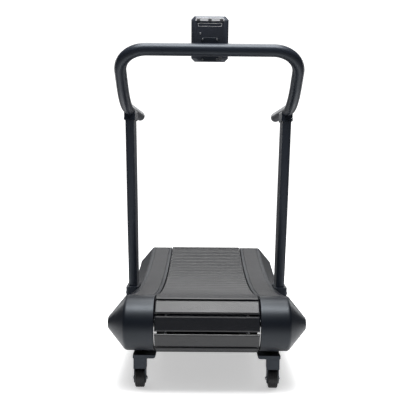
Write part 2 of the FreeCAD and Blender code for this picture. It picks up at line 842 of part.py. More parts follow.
def bearing_blocks(label):
    """Flanged bearing units bolted on the rails' outer faces, one at each shaft end."""
    body = new_body(label)
    bore = size.shaft_radius + size.running_gap
    steps = (
        (size.bearing_flange_radius, 0, size.bearing_flange_thick),
        (size.bearing_boss_radius, size.bearing_flange_thick, size.bearing_boss_thick),
    )
    for side in (-1, 1):
        for radius, start, thick in steps:
            section = new_sketch(body, "YZ_Plane", out=(size.rail_outer_x + start) * side)
            for end in (-1, 1):
                add_circle(section, half_span * end, size.drum_height, radius)
                add_circle(section, half_span * end, size.drum_height, bore)
            add_pad(body, section, thick, reverse=side < 0)


def one_way_bearing(label):
    """Clutch ring on the rear shaft's left end, which lets the belt run rearwards only."""
    body = new_body(label)
    start = size.rail_outer_x + size.bearing_flange_thick + size.bearing_boss_thick
    section = new_sketch(body, "YZ_Plane", out=-start)
    bore = size.shaft_radius + size.running_gap
    add_circle(section, half_span, size.drum_height, size.clutch_radius)
    add_circle(section, half_span, size.drum_height, bore)
    # the ring is short enough to leave the shaft's end inside it
    reach = size.shaft_half_length - start
    add_pad(body, section, reach + size.clutch_width / 2, reverse=True)


def tension_bolts(label):
    """Bolts through the rails' lugs that set the drive belts' tension."""
    body = new_body(label)
    start = half_span - size.bearing_flange_radius - size.tension_bolt_length
    for side in (-1, 1):
        across = (size.rail_outer_x + size.bearing_flange_thick) * side
        shank = new_sketch(body, "XZ_Plane", out=-start)
        add_circle(shank, across, size.drum_height, size.tension_bolt_radius)
        add_pad(body, shank, size.tension_bolt_length, reverse=True)
        head = new_sketch(body, "XZ_Plane", out=-start)
        add_circle(head, across, size.drum_height, size.tension_head_radius)
        add_pad(body, head, size.tension_head_thick, reverse=True)


def speed_sensor(label):
    """Pick-up on the left rail, facing the rim of the front pulley."""
    body = new_body(label)
    section = new_sketch(body, "YZ_Plane", out=-size.rail_inner_x)
    low = size.drum_height - size.pulley_hub_radius
    near = size.sensor_from_axis - half_span
    add_rectangle(section, near, near + size.sensor_long, low, low + size.sensor_tall)
    add_pad(body, section, size.sensor_thick)
    add_edge_finish(body, "Fillet", size.sensor_round,
                    lambda edge: is_straight_along(edge, Vector(1, 0, 0)))


mirrored_pair(side_rail, "side_rail")
cross_tubes("frame_cross_tubes")
track_rollers("track_rollers")
roller_bolts("roller_bolts")
bearing_blocks("bearing_blocks")
one_way_bearing("one_way_bearing")
tension_bolts("tension_bolts")
speed_sensor("speed_sensor")


# ---- covers ----

def top_cover(label, side):
    """Flat top of one side, with a tray for the grip strip and a seam at mid-length."""
    body = new_body(label)
    section = deck_section(body)
    top = size.cover_radius - size.middle_radius
    wall = size.cover_wall
    inner = size.cover_inner_x
    outer = size.cover_outer_x - size.cover_side_gap
    tray = size.grip_depth
    profile = [
        (inner, top - size.cover_lip),
        (inner, top),
        (size.grip_inner_x, top),
        (size.grip_inner_x, top - tray),
        (size.grip_outer_x, top - tray),
        (size.grip_outer_x, top),
        (outer, top),
        (outer, top - tray - wall),
        (outer - wall, top - tray - wall),
        (outer - wall, top - wall),
        (size.grip_outer_x + wall, top - wall),
        (size.grip_outer_x + wall, top - tray - wall),
        (size.grip_inner_x - wall, top - tray - wall),
        (size.grip_inner_x - wall, top - wall),
        (inner + wall, top - wall),
        (inner + wall, top - size.cover_lip),
    ]
    add_outline(section, [(x * side, y) for x, y in profile])
    add_revolution(body, section, size.half_angle * 2)
    seam = new_sketch(body, "XY_Plane", up=0)
    across = sorted((inner * side - side, outer * side + side), key=lambda item: item.value)
    add_rectangle(seam, across[0], across[1], -size.cover_seam / 2, size.cover_seam / 2)
    add_pocket(body, seam, size.upright_top_z, reverse=True)


def grip_strip(label, side):
    """Ribbed rubber strip lying in the top cover's tray, to stand on."""
    body = new_body(label)
    section = deck_section(body)
    low = size.cover_radius - size.middle_radius - size.grip_depth
    high = low + size.grip_depth + size.grip_proud
    inner = (size.grip_inner_x + size.grip_side_gap) * side
    outer = (size.grip_outer_x - size.grip_side_gap) * side
    add_rectangle(section, inner, outer, low, high)
    short = size.grip_end_space / size.middle_radius * (360 / math.pi)
    add_revolution(body, section, size.half_angle * 2 - short)


def drum_cover(label, side, end):
    """Half-round shell over a drum's end, closing to a blunt cone at the side."""
    body = new_body(label)
    section = drum_section(body, end, outer_half_turn(end))
    wall = size.cover_wall
    inside_tip = size.half_width - wall
    profile = [
        (size.cover_inner_x, size.cover_radius - wall),
        (size.cover_inner_x, size.cover_radius),
        (size.cover_outer_x, size.cover_radius),
        (size.half_width, size.tip_radius),
        (size.half_width, 0),
        (inside_tip, 0),
        (inside_tip, slope_height(inside_tip) - size.slope_wall),
        (size.cover_outer_x - wall, size.cover_radius - wall),
    ]
    add_outline(section, [(x * side, y) for x, y in profile])
    add_revolution(body, section, 180)


def side_skirt(label, side):
    """Trapezoid ridge along one side of the deck, notched round the upright's socket."""
    body = new_body(label)
    section = deck_section(body)
    middle = -size.middle_radius
    wall = size.cover_wall
    edge = size.cover_outer_x - size.cover_side_gap
    inside_tip = size.half_width - wall
    inside_edge = slope_height(edge) - size.slope_wall
    inside_corner = slope_height(inside_tip) - size.slope_wall
    lip_end = size.cover_outer_x - size.skirt_lip
    profile = [
        (size.cover_outer_x, size.cover_radius),
        (size.half_width, size.tip_radius),
        (size.half_width, -size.tip_radius),
        (size.cover_outer_x, -size.cover_radius),
        (lip_end, -size.cover_radius),
        (lip_end, wall - size.cover_radius),
        (size.cover_outer_x - wall, wall - size.cover_radius),
        (inside_tip, -inside_corner),
        (inside_tip, inside_corner),
        (size.cover_outer_x, inside_edge),
    ]
    add_outline(section, [(x * side, middle + y) for x, y in profile])
    add_revolution(body, section, size.half_angle * 2)
    notch = socket_sketch(body)
    gap = size.cover_seam
    ends = sorted(((size.socket_inner_x - gap * 2) * side, (size.socket_outer_x + gap) * side),
                  key=lambda item: item.value)
    half = size.socket_depth / 2 + gap
    add_rectangle(notch, ends[0], ends[1], -half, half)
    add_pocket(body, notch, size.socket_high, direction=LEAN)


def socket_sketch(body):
    """Level sketch at the socket's foot, centred on the leaning upright from front to back."""
    foot_y = size.upright_foot_y + (size.socket_low - size.upright_foot_z) * lean
    return new_sketch(body, "XY_Plane", up=foot_y, out=size.socket_low)


mirrored_pair(top_cover, "top_cover")
mirrored_pair(grip_strip, "grip_strip")
for drum_name, drum_end in (("front", -1), ("rear", 1)):
    for side_name, drum_side in (("left", -1), ("right", 1)):
        drum_cover("%s_drum_cover_%s" % (drum_name, side_name), drum_side, drum_end)
mirrored_pair(side_skirt, "side_skirt")


# ---- uprights, sockets and handlebar ----

def upright(label, side):
    """Rounded rectangular tube that leans forwards, cut level at both ends."""
    body = new_body(label)
    section = new_sketch(body, "XY_Plane", right=size.upright_x * side, up=size.upright_foot_y,
                         out=size.upright_foot_z)
    half_w = size.upright_width / 2
    half_d = size.upright_depth / 2
    wall = size.upright_wall
    add_rounded_rectangle(section, -half_w, half_w, -half_d, half_d, size.upright_corner)
    add_rounded_rectangle(section, wall - half_w, half_w - wall, wall - half_d, half_d - wall,
                          size.upright_corner - wall)
    add_pad(body, section, size.upright_top_z - size.upright_foot_z, direction=LEAN)


def upright_sockets(label):
    """Sleeves round the uprights' feet, each welded to its rail by an arm."""
    body = new_body(label)
    for side in (-1, 1):
        ends = sorted((size.socket_inner_x * side, size.socket_outer_x * side),
                      key=lambda item: item.value)
        sleeve = socket_sketch(body)
        half = size.socket_depth / 2
        add_rounded_rectangle(sleeve, ends[0], ends[1], -half, half, size.upright_corner / 2)
        half_w = size.upright_width / 2 + size.running_gap
        half_d = size.upright_depth / 2 + size.running_gap
        middle = size.upright_x * side
        add_rounded_rectangle(sleeve, middle - half_w, middle + half_w, -half_d, half_d,
                              size.upright_corner)
        add_pad(body, sleeve, size.socket_high - size.socket_low, direction=LEAN)
        arm = new_sketch(body, "YZ_Plane", out=size.rail_outer_x * side)
        arm_half = size.socket_arm_depth / 2
        low = size.socket_arm_low
        add_rectangle(arm, size.upright_foot_y - arm_half, size.upright_foot_y + arm_half,
                      low, low + size.socket_arm_height)
        reach = size.socket_inner_x - size.rail_outer_x
        add_pad(body, arm, reach, reverse=side < 0)
        holes = new_sketch(body, "YZ_Plane", out=size.socket_outer_x * side)
        for spread in (-1, 1):
            add_circle(holes, socket_bolt_y + size.socket_bolt_spread * spread,
                       size.socket_bolt_z, size.socket_bolt_radius)
        depth = size.socket_outer_x - size.upright_x - size.upright_width / 2
        add_pocket(body, holes, depth, reverse=side < 0)


socket_bolt_y = size.upright_foot_y + (size.socket_bolt_z - size.upright_foot_z) * lean


def socket_bolts(label):
    """Bolts through each socket's outer wall that pinch the upright."""
    body = new_body(label)
    reach = size.socket_outer_x - size.upright_x - size.upright_width / 2
    for side in (-1, 1):
        for radius, length, inwards in ((size.socket_bolt_radius, reach, True),
                                        (size.socket_bolt_head, size.socket_bolt_radius, False)):
            section = new_sketch(body, "YZ_Plane", out=size.socket_outer_x * side)
            for spread in (-1, 1):
                add_circle(section, socket_bolt_y + size.socket_bolt_spread * spread,
                           size.socket_bolt_z, radius)
            add_pad(body, section, length, reverse=inwards == (side > 0))


def handle_clamps(label):
    """Saddle blocks on the uprights' tops that hold the bar from below."""
    body = new_body(label)
    half_l = size.clamp_length / 2
    for side in (-1, 1):
        middle = size.upright_x * side
        half_w = size.clamp_width / 2
        block = new_sketch(body, "XZ_Plane", out=half_l - size.upright_top_y)
        add_rectangle(block, middle - half_w, middle + half_w, size.upright_top_z,
                      size.handle_height - size.clamp_drop)
        add_pad(body, block, size.clamp_length, reverse=True)
    saddle = new_sketch(body, "XZ_Plane", out=half_l * 2 - size.upright_top_y)
    for side in (-1, 1):
        add_circle(saddle, size.upright_x * side, size.handle_height, size.bar_radius)
    add_pocket(body, saddle, size.clamp_length * 2)
    for side in (-1, 1):
        holes = clamp_bolt_sketch(body, side, size.clamp_bolt_radius)
        add_pocket(body, holes, size.clamp_bolt_head * 2, reverse=side < 0)


def clamp_bolt_sketch(body, side, radius):
    face = (size.upright_x + size.clamp_width / 2) * side
    sketch = new_sketch(body, "YZ_Plane", out=face)
    for spread in (-1, 1):
        add_circle(sketch, size.upright_top_y + size.clamp_bolt_spread * spread,
                   size.upright_top_z + size.clamp_bolt_up, radius)
    return sketch


def clamp_bolts(label):
    body = new_body(label)
    for side in (-1, 1):
        shank = clamp_bolt_sketch(body, side, size.clamp_bolt_radius)
        add_pad(body, shank, size.clamp_bolt_head * 2, reverse=side > 0)
        head = clamp_bolt_sketch(body, side, size.clamp_bolt_head)
        add_pad(body, head, size.clamp_bolt_radius, reverse=side < 0)


def bar_path():
    """Centre line of the bar: back along one handle's level run, and round to the other.

    Each side runs level, rises on an arc, climbs straight and turns into the front bar.
    """
    side = size.upright_x.value
    level = size.handle_height.value
    bend_y = size.handle_bend_y.value
    bend = size.handle_bend_radius.value
    rise = math.radians(size.handle_rise_angle.value)
    front = size.bar_front_y.value
    corner = size.bar_corner_radius.value
    climb = Vector(0, -math.cos(rise), math.sin(rise))

    def on_bend(angle):
        return Vector(side, bend_y - bend * math.sin(angle), level + bend * (1 - math.cos(angle)))

    top_of_bend = on_bend(rise)
    climb_length = (top_of_bend.y - front) / math.cos(rise)
    apex = top_of_bend + climb * climb_length
    corner_start = apex - climb * corner
    corner_end = apex - Vector(corner, 0, 0)
    centre = corner_start - Vector(corner, 0, 0)
    middle = centre + (Vector(1, 0, 0) + climb) * (corner / math.sqrt(2))
    start = Vector(side, size.handle_end_y.value, level)

    def other(point):
        return Vector(-point.x, point.y, point.z)

    bend_arc = (on_bend(0), on_bend(rise / 2), top_of_bend)
    corner_arc = (corner_start, middle, corner_end)
    edges = [
        Part.LineSegment(start, bend_arc[0]),
        Part.Arc(*bend_arc),
        Part.LineSegment(top_of_bend, corner_start),
        Part.Arc(*corner_arc),
        Part.LineSegment(corner_end, other(corner_end)),
        Part.Arc(*[other(point) for point in reversed(corner_arc)]),
        Part.LineSegment(other(corner_start), other(top_of_bend)),
        Part.Arc(*[other(point) for point in reversed(bend_arc)]),
        Part.LineSegment(other(bend_arc[0]), other(start)),
    ]
    size.add("bar_front_z", apex.z)
    return Part.Wire([edge.toShape() for edge in edges])


def handlebar(label):
    """One bent tube: the outer sweep less the bore."""
    path = document.addObject("Part::Feature", "bar_path")
    path.Shape = bar_path()
    spine_edges = ["Edge%d" % (index + 1) for index in range(len(path.Shape.Edges))]
    sweeps = []
    for name, radius in (("bar_outside", size.bar_radius),
                         ("bar_bore", size.bar_radius - size.bar_wall)):
        ring = document.addObject("Part::Circle", name + "_ring")
        bind(ring, "Radius", radius)
        ring.Placement = Placement(Vector(0, 0, 0), Rotation(Vector(1, 0, 0), 90))
        bind(ring, "Placement.Base.x", size.upright_x)
        bind(ring, "Placement.Base.y", size.handle_end_y)
        bind(ring, "Placement.Base.z", size.handle_height)
        sweep = document.addObject("Part::Sweep", name)
        sweep.Sections = [ring]
        sweep.Spine = (path, spine_edges)
        sweep.Solid = True
        sweep.Frenet = False
        sweeps.append(sweep)
    tube = document.addObject("Part::Cut", label)
    tube.Label = label
    tube.Base = sweeps[0]
    tube.Tool = sweeps[1]
    nodes.append(tube)


def handle_end_caps(label):
    """Domed plugs in the rear ends of the bar."""
    body = new_body(label)
    bore = size.bar_radius - size.bar_wall
    for side in (-1, 1):
        section = new_sketch(body, "YZ_Plane", right=size.handle_end_y, up=size.handle_height,
                             out=size.upright_x * side)
        shoulder = size.end_cap_thick / 2
        add_outline(section, [
            (-size.end_cap_plug, 0),
            (size.end_cap_thick, 0),
            (size.end_cap_thick, size.bar_radius - size.end_cap_thick),
            (shoulder, size.bar_radius - size.end_cap_taper),
            (0, size.bar_radius),
            (0, bore),
            (-size.end_cap_plug, bore),
        ])
        add_revolution(body, section, 360)


mirrored_pair(upright, "upright")
upright_sockets("upright_sockets")
socket_bolts("socket_bolts")
handle_clamps("handle_clamps")
clamp_bolts("clamp_bolts")
handlebar("handlebar")
handle_end_caps("handle_end_caps")


# ---- console ----

def console_placement():
    """The console stands behind the front bar and leans towards it."""
    tilt = math.radians(size.console_tilt.value)
    bar_back = size.console_back + size.bracket_stand + size.bar_radius
    local_y = -bar_back.value
    local_z = -size.console_above_bar.value
    shift_y = local_y * math.cos(tilt) - local_z * math.sin(tilt)
    shift_z = local_y * math.sin(tilt) + local_z * math.cos(tilt)
    size.add("console_y", size.bar_front_y.value - shift_y)
    size.add("console_z", size.bar_front_z.value - shift_z)


console_placement()


def console_body(label):
    """A body laid out about the console's middle: x across, y to the runner, z up."""
    body = new_body(label)
    body.Placement = Placement(Vector(0, 0, 0), Rotation(Vector(1, 0, 0), size.console_tilt.value))
    bind(body, "Placement.Base.y", size.console_y)
    bind(body, "Placement.Base.z", size.console_z)
    return body


def face_sketch(body, y):
    """Sketch across the console, at a distance towards the runner."""
    return new_sketch(body, "XZ_Plane", out=-as_size(y))


def add_octagon(sketch, wide, tall, corner):
    half_w = wide / 2
    half_t = tall / 2
    add_outline(sketch, [
        (corner - half_w, -half_t),
        (half_w - corner, -half_t),
        (half_w, corner - half_t),
        (half_w, half_t - corner),
        (half_w - corner, half_t),
        (corner - half_w, half_t),
        (-half_w, half_t - corner),
        (-half_w, corner - half_t),
    ])


def bracket_screw_places():
    for x in (-size.console_screw_x, size.console_screw_x):
        for z in (size.console_screw_high, size.console_screw_low):
            yield x, z


def console_housing(label):
    """Moulded back shell with a blank recess, open towards the runner."""
    body = console_body(label)
    outline = face_sketch(body, -size.console_back)
    add_octagon(outline, size.console_width, size.console_tall, size.console_corner)
    add_pad(body, outline, size.console_back, reverse=True)
    back_y = -size.console_back.value

    def on_back(edge):
        return all(abs(vertex.Point.y - back_y) < 1e-6 for vertex in edge.Vertexes)

    add_edge_finish(body, "Chamfer", size.console_bevel, on_back)
    hollow = face_sketch(body, 0)
    wall = size.console_wall
    margin = size.console_bevel + wall
    add_octagon(hollow, size.console_width - margin * 2, size.console_tall - margin * 2,
                size.console_corner - wall)
    add_pocket(body, hollow, size.console_back - wall * 2, reverse=True)
    badge = face_sketch(body, -size.console_back)
    half_w = size.badge_wide / 2
    taper = size.badge_tall / 4
    low = size.badge_up - size.badge_tall / 2
    add_outline(badge, [
        (-half_w, low),
        (half_w, low),
        (half_w - taper, low + size.badge_tall),
        (taper - half_w, low + size.badge_tall),
    ])
    add_pocket(body, badge, size.badge_deep)
    holes = face_sketch(body, -size.console_back)
    for x, z in bracket_screw_places():
        add_circle(holes, x, z, size.console_screw_radius)
    add_pocket(body, holes, wall * 2)
    slot = face_sketch(body, -size.console_back)
    add_grommet_outline(slot)
    add_pocket(body, slot, wall * 2)


def add_grommet_outline(sketch):
    half_w = size.grommet_wide / 2
    half_t = size.grommet_tall / 2
    add_rounded_rectangle(sketch, size.grommet_x - half_w, size.grommet_x + half_w,
                          -size.grommet_down - half_t, -size.grommet_down + half_t,
                          size.grommet_tall / 3)


def console_grommet(label):
    """Blanking plug in the back shell's cable slot."""
    body = console_body(label)
    section = face_sketch(body, -size.console_back)
    add_grommet_outline(section)
    add_pad(body, section, size.console_wall * 2, reverse=True)
    flange = face_sketch(body, -size.console_back)
    edge = size.console_wall / 2
    half_w = size.grommet_wide / 2 + edge
    half_t = size.grommet_tall / 2 + edge
    add_rounded_rectangle(flange, size.grommet_x - half_w, size.grommet_x + half_w,
                          -size.grommet_down - half_t, -size.grommet_down + half_t,
                          size.grommet_tall / 3 + edge)
    add_pad(body, flange, edge)


def button_places():
    """Start and stop above, the two select keys below."""
    low = -size.button_row_drop
    for name, column, row in (("start_button", -1, 0), ("stop_button", 1, 0),
                              ("select_button", -1, 1), ("reset_button", 1, 1)):
        yield name, size.button_spread * column, low - size.button_row_step * row


def console_bezel(label):
    """Front frame that holds the lens and guides the buttons."""
    body = console_body(label)
    outline = face_sketch(body, 0)
    add_octagon(outline, size.console_width, size.console_tall, size.console_corner)
    add_pad(body, outline, size.bezel_thick, reverse=True)
    front_y = size.bezel_thick.value

    def on_front(edge):
        return all(abs(vertex.Point.y - front_y) < 1e-6 for vertex in edge.Vertexes)

    add_edge_finish(body, "Chamfer", size.bezel_bevel, on_front)
    window = face_sketch(body, size.bezel_thick)
    half_w = size.lens_width / 2 + size.lens_gap
    half_t = size.lens_tall / 2 + size.lens_gap
    add_rectangle(window, -half_w, half_w, size.lens_up - half_t, size.lens_up + half_t)
    add_pocket(body, window, size.lens_thick + size.lens_recess, reverse=True)
    ledge = face_sketch(body, size.bezel_thick)
    rim = size.lens_ledge
    add_rectangle(ledge, rim - half_w, half_w - rim, size.lens_up - half_t + rim,
                  size.lens_up + half_t - rim)
    add_pocket(body, ledge, size.bezel_thick, reverse=True)
    holes = face_sketch(body, size.bezel_thick)
    for name, x, z in button_places():
        add_circle(holes, x, z, size.button_radius + size.button_gap)
    add_pocket(body, holes, size.bezel_thick, reverse=True)


def display_lens(label):
    body = console_body(label)
    section = face_sketch(body, size.bezel_thick - size.lens_thick - size.lens_recess)
    half_w = size.lens_width / 2
    half_t = size.lens_tall / 2
    add_rectangle(section, -half_w, half_w, size.lens_up - half_t, size.lens_up + half_t)
    add_pad(body, section, size.lens_thick, reverse=True)


def console_button(label, x, z):
    """Round key that stands proud of the bezel and is kept in by a wider foot."""
    body = console_body(label)
    foot = face_sketch(body, -size.button_proud - size.button_gap)
    add_circle(foot, x, z, size.button_radius + size.button_proud)
    add_pad(body, foot, size.button_proud, reverse=True)
    cap = face_sketch(body, -size.button_gap)
    add_circle(cap, x, z, size.button_radius)
    add_pad(body, cap, size.bezel_thick + size.button_gap + size.button_proud, reverse=True)
    top_y = (size.bezel_thick + size.button_proud).value

    def on_top(edge):
        return all(abs(vertex.Point.y - top_y) < 1e-6 for vertex in edge.Vertexes)

    add_edge_finish(body, "Fillet", size.button_proud / 2, on_top)


def circuit_board(label):
    body = console_body(label)
    section = face_sketch(body, -size.board_back - size.board_thick)
    margin = size.console_bevel * 3
    half_w = size.console_width / 2 - margin
    half_t = size.console_tall / 2 - margin
    add_rectangle(section, -half_w, half_w, -half_t, half_t)
    add_pad(body, section, size.board_thick, reverse=True)


def console_bracket(label):
    """Plate on the console's back with a saddle welded behind the bar."""
    body = console_body(label)
    plate = face_sketch(body, -size.console_back)
    half_w = size.bracket_width / 2
    margin = size.console_screw_head * 2
    add_rounded_rectangle(plate, -half_w, half_w, size.console_screw_low - margin,
                          size.console_screw_high + margin, size.console_screw_head)
    add_pad(body, plate, size.bracket_plate)
    saddle = new_sketch(body, "YZ_Plane")
    plate_y = -size.console_back - size.bracket_plate
    bar_y = -size.console_back - size.bracket_stand - size.bar_radius
    half_h = size.saddle_half_height
    add_rectangle(saddle, bar_y, plate_y, -size.console_above_bar - half_h,
                  half_h - size.console_above_bar)
    add_pad(body, saddle, size.saddle_width, both_ways=True)
    groove = new_sketch(body, "YZ_Plane")
    add_circle(groove, bar_y, -size.console_above_bar, size.bar_radius)
    add_pocket(body, groove, size.saddle_width * 2, both_ways=True)
    holes = face_sketch(body, -size.console_back - size.bracket_plate)
    for x, z in bracket_screw_places():
        add_circle(holes, x, z, size.console_screw_radius)
    add_pocket(body, holes, size.bracket_plate)


def console_screws(label):
    """Four screws through the bracket's plate into the back shell, and one on the shell."""
    body = console_body(label)
    outside = -size.console_back - size.bracket_plate
    shanks = face_sketch(body, outside)
    heads = face_sketch(body, outside)
    for x, z in bracket_screw_places():
        add_circle(shanks, x, z, size.console_screw_radius)
        add_circle(heads, x, z, size.console_screw_head)
    add_pad(body, shanks, size.bracket_plate + size.console_wall * 2, reverse=True)
    add_pad(body, heads, size.console_screw_radius)
    lone_head = face_sketch(body, -size.console_back)
    add_circle(lone_head, -size.shell_screw_x, size.shell_screw_up, size.console_screw_head)
    add_pad(body, lone_head, size.console_screw_radius)


def console_top_trim(label):
    """Pale strip along the top of the back, with three tabs over its lower edge."""
    body = console_body(label)
    high = size.console_tall / 2 - size.console_bevel
    low = high - size.trim_tall
    half_w = size.trim_width / 2
    strip = face_sketch(body, -size.console_back)
    add_rectangle(strip, -half_w, half_w, low, high)
    add_pad(body, strip, size.trim_thick)
    tabs = face_sketch(body, -size.console_back - size.trim_thick)
    tab_half = size.tab_width / 2
    for column in (-1, 0, 1):
        middle = size.tab_step * column
        add_rectangle(tabs, middle - tab_half, middle + tab_half, low, low + size.tab_tall)
    add_pad(body, tabs, size.trim_thick)


console_housing("console_housing")
console_bezel("console_bezel")
display_lens("display_lens")
circuit_board("circuit_board")
console_bracket("console_bracket")
console_screws("console_screws")
console_top_trim("console_top_trim")
console_grommet("console_grommet")
for button_name, button_x, button_z in button_places():
    console_button(button_name, button_x, button_z)


# ---- transport wheels, rear feet and lifting bar ----

def carrier_bracket(body, side, end):
    """Side plate on the rail's outer face with a heavy block under it."""
    plate = new_sketch(body, "YZ_Plane", out=size.rail_outer_x * side)
    near = size.foot_plate_near * end
    far = size.foot_plate_far * end
    add_rectangle(plate, near, far, size.foot_block_low, size.foot_plate_high)
    add_pad(body, plate, size.foot_plate_thick, reverse=side < 0)
    block = new_sketch(body, "XZ_Plane", out=-near)
    inner = size.foot_block_inner_x * side
    outer = size.foot_block_outer_x * side
    add_rectangle(block, inner, outer, size.foot_block_low, size.foot_block_high)
    add_pad(body, block, size.foot_block_outer_y - size.foot_plate_near, reverse=end > 0)


def wheel_brackets(label):
    """Two forks for the transport wheels, each hung from a block by a solid crown."""
    body = new_body(label)
    for side in (-1, 1):
        carrier_bracket(body, side, -1)
    inner_x = size.foot_block_inner_x.value
    low_z = size.foot_block_low.value

    def on_lower_inner_corner(edge):
        places = [vertex.Point for vertex in edge.Vertexes]
        return all(abs(abs(point.x) - inner_x) < 1e-6 and abs(point.z - low_z) < 1e-6
                   for point in places)

    add_edge_finish(body, "Fillet", size.foot_block_round, on_lower_inner_corner)
    for side in (-1, 1):
        for inwards in (-1, 1):
            inside = size.wheel_x * side + (size.wheel_width / 2 + size.fork_gap) * inwards
            cheek = new_sketch(body, "YZ_Plane", out=inside)
            half = size.fork_depth / 2
            low = size.wheel_radius - half
            add_outline(cheek, [
                (size.wheel_y - half, low + half / 2),
                (size.wheel_y - half / 2, low),
                (size.wheel_y + half / 2, low),
                (size.wheel_y + half, low + half / 2),
                (size.wheel_y + half, size.foot_block_low),
                (size.wheel_y - half, size.foot_block_low),
            ])
            add_pad(body, cheek, size.fork_cheek, reverse=inwards < 0)
    crown = new_sketch(body, "XY_Plane", out=size.wheel_radius * 2 + size.fork_crown_gap)
    half_w = fork_outer + size.fork_crown_side
    half_d = size.fork_depth / 2 + size.fork_crown_side
    for side in (-1, 1):
        middle = size.wheel_x * side
        add_rectangle(crown, middle - half_w, middle + half_w, size.wheel_y - half_d,
                      size.wheel_y + half_d)
    crown_tall = size.foot_block_low - size.wheel_radius * 2 - size.fork_crown_gap
    add_pad(body, crown, crown_tall)
    bores = new_sketch(body, "YZ_Plane")
    add_circle(bores, size.wheel_y, size.wheel_radius, size.axle_radius)
    add_pocket(body, bores, size.half_width * 2, both_ways=True)


def wheel(label, side):
    """Solid tyre and hub in one, with rounded shoulders."""
    body = new_body(label)
    section = new_sketch(body, "XZ_Plane", right=size.wheel_x * side, up=size.wheel_radius,
                         out=-size.wheel_y)
    half = size.wheel_width / 2
    bore = size.axle_radius + size.running_gap
    chamfer = size.wheel_chamfer
    rim = size.wheel_rim_radius
    hub = size.wheel_hub_radius
    add_outline(section, [
        (-half, bore),
        (half, bore),
        (half, hub),
        (half - chamfer, hub + chamfer),
        (half - chamfer, rim - chamfer),
        (half, rim),
        (half, size.wheel_radius - chamfer),
        (half - chamfer, size.wheel_radius),
        (chamfer - half, size.wheel_radius),
        (-half, size.wheel_radius - chamfer),
        (-half, rim),
        (chamfer - half, rim - chamfer),
        (chamfer - half, hub + chamfer),
        (-half, hub),
    ])
    add_revolution(body, section, 360)


def wheel_axles(label):
    """Axle bolts with a head outside and a nut inside each fork."""
    body = new_body(label)
    for side in (-1, 1):
        shank = new_sketch(body, "YZ_Plane", out=size.wheel_x * side)
        add_circle(shank, size.wheel_y, size.wheel_radius, size.axle_radius)
        add_pad(body, shank, fork_outer * 2, both_ways=True)
        for inwards in (-1, 1):
            head = new_sketch(body, "YZ_Plane", out=size.wheel_x * side + fork_outer * inwards)
            add_circle(head, size.wheel_y, size.wheel_radius, size.axle_head_radius)
            add_pad(body, head, size.axle_head_thick, reverse=inwards < 0)


def rear_foot_brackets(label):
    body = new_body(label)
    for side in (-1, 1):
        carrier_bracket(body, side, 1)
    holes = new_sketch(body, "XY_Plane", out=size.foot_block_low)
    for side in (-1, 1):
        add_circle(holes, size.foot_x * side, size.foot_y, size.foot_stud_radius + size.running_gap)
    add_pocket(body, holes, size.foot_block_high - size.foot_block_low, reverse=True)


def levelling_foot(label, side):
    """Rubber pad on a threaded stud."""
    body = new_body(label)
    section = new_sketch(body, "XZ_Plane", right=size.foot_x * side, out=-size.foot_y)
    pad = size.foot_pad_thick
    stud = size.foot_stud_radius
    add_outline(section, [
        (0, 0),
        (size.foot_pad_radius, 0),
        (size.foot_pad_radius, size.foot_pad_edge),
        (size.foot_pad_top_radius, pad),
        (stud, pad),
        (stud, size.foot_block_high - size.foot_stud_short),
        (0, size.foot_block_high - size.foot_stud_short),
    ])
    turned = body.newObject("PartDesign::Revolution", label + "_turned")
    turned.Profile = section
    turned.ReferenceAxis = (section, ["V_Axis"])
    turned.Angle = 360
    body.Tip = turned


def foot_lock_nuts(label):
    body = new_body(label)
    section = new_sketch(body, "XY_Plane", out=size.foot_block_low)
    for side in (-1, 1):
        add_circle(section, size.foot_x * side, size.foot_y, size.lock_nut_radius)
        add_circle(section, size.foot_x * side, size.foot_y,
                   size.foot_stud_radius + size.running_gap)
    add_pad(body, section, size.lock_nut_thick, reverse=True)


def lift_bar(label):
    bar = document.addObject("Part::Cylinder", label)
    bar.Label = label
    bar.Placement = Placement(Vector(0, 0, 0), Rotation(Vector(0, 1, 0), 90))
    bind(bar, "Radius", size.lift_bar_radius)
    bind(bar, "Height", size.foot_block_inner_x * 2)
    bind(bar, "Placement.Base.x", -size.foot_block_inner_x)
    bind(bar, "Placement.Base.y", size.lift_bar_y)
    bind(bar, "Placement.Base.z", size.lift_bar_z)
    nodes.append(bar)


wheel_brackets("wheel_brackets")
mirrored_pair(wheel, "wheel")
wheel_axles("wheel_axles")
rear_foot_brackets("rear_foot_brackets")
mirrored_pair(levelling_foot, "levelling_foot")
foot_lock_nuts("foot_lock_nuts")
lift_bar("rear_lift_bar")


# ---- checks and export ----

document.recompute()
for item in document.Objects:
    if "Invalid" in item.State or "Error" in item.State:
        raise RuntimeError("%s failed: %s" % (item.Name, item.State))
for node in nodes:
    if node.Shape.isNull() or not node.Shape.isValid():
        raise RuntimeError("bad shape in " + node.Label)
for node in nodes:
    node.Shape.exportStep("parts/" + node.Label + ".step")

print("%d nodes" % len(nodes))
print("half pitch in degrees: drum %.6f, top %.6f, bottom %.6f" % (
    90 / DRUM_COUNT, size.half_angle.value / TOP_COUNT, size.half_angle.value / BOTTOM_COUNT))
print("arc centre height %.4f" % size.arc_centre_z.value)
for node in nodes:
    box = node.Shape.BoundBox
    print("%-24s %3d solids  x %.1f..%.1f  y %.1f..%.1f  z %.1f..%.1f" % (
        node.Label, len(node.Shape.Solids), box.XMin, box.XMax, box.YMin, box.YMax,
        box.ZMin, box.ZMax))
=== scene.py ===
import bpy
import bmesh
import json
import math
import numpy as np
from mathutils import Matrix, Vector


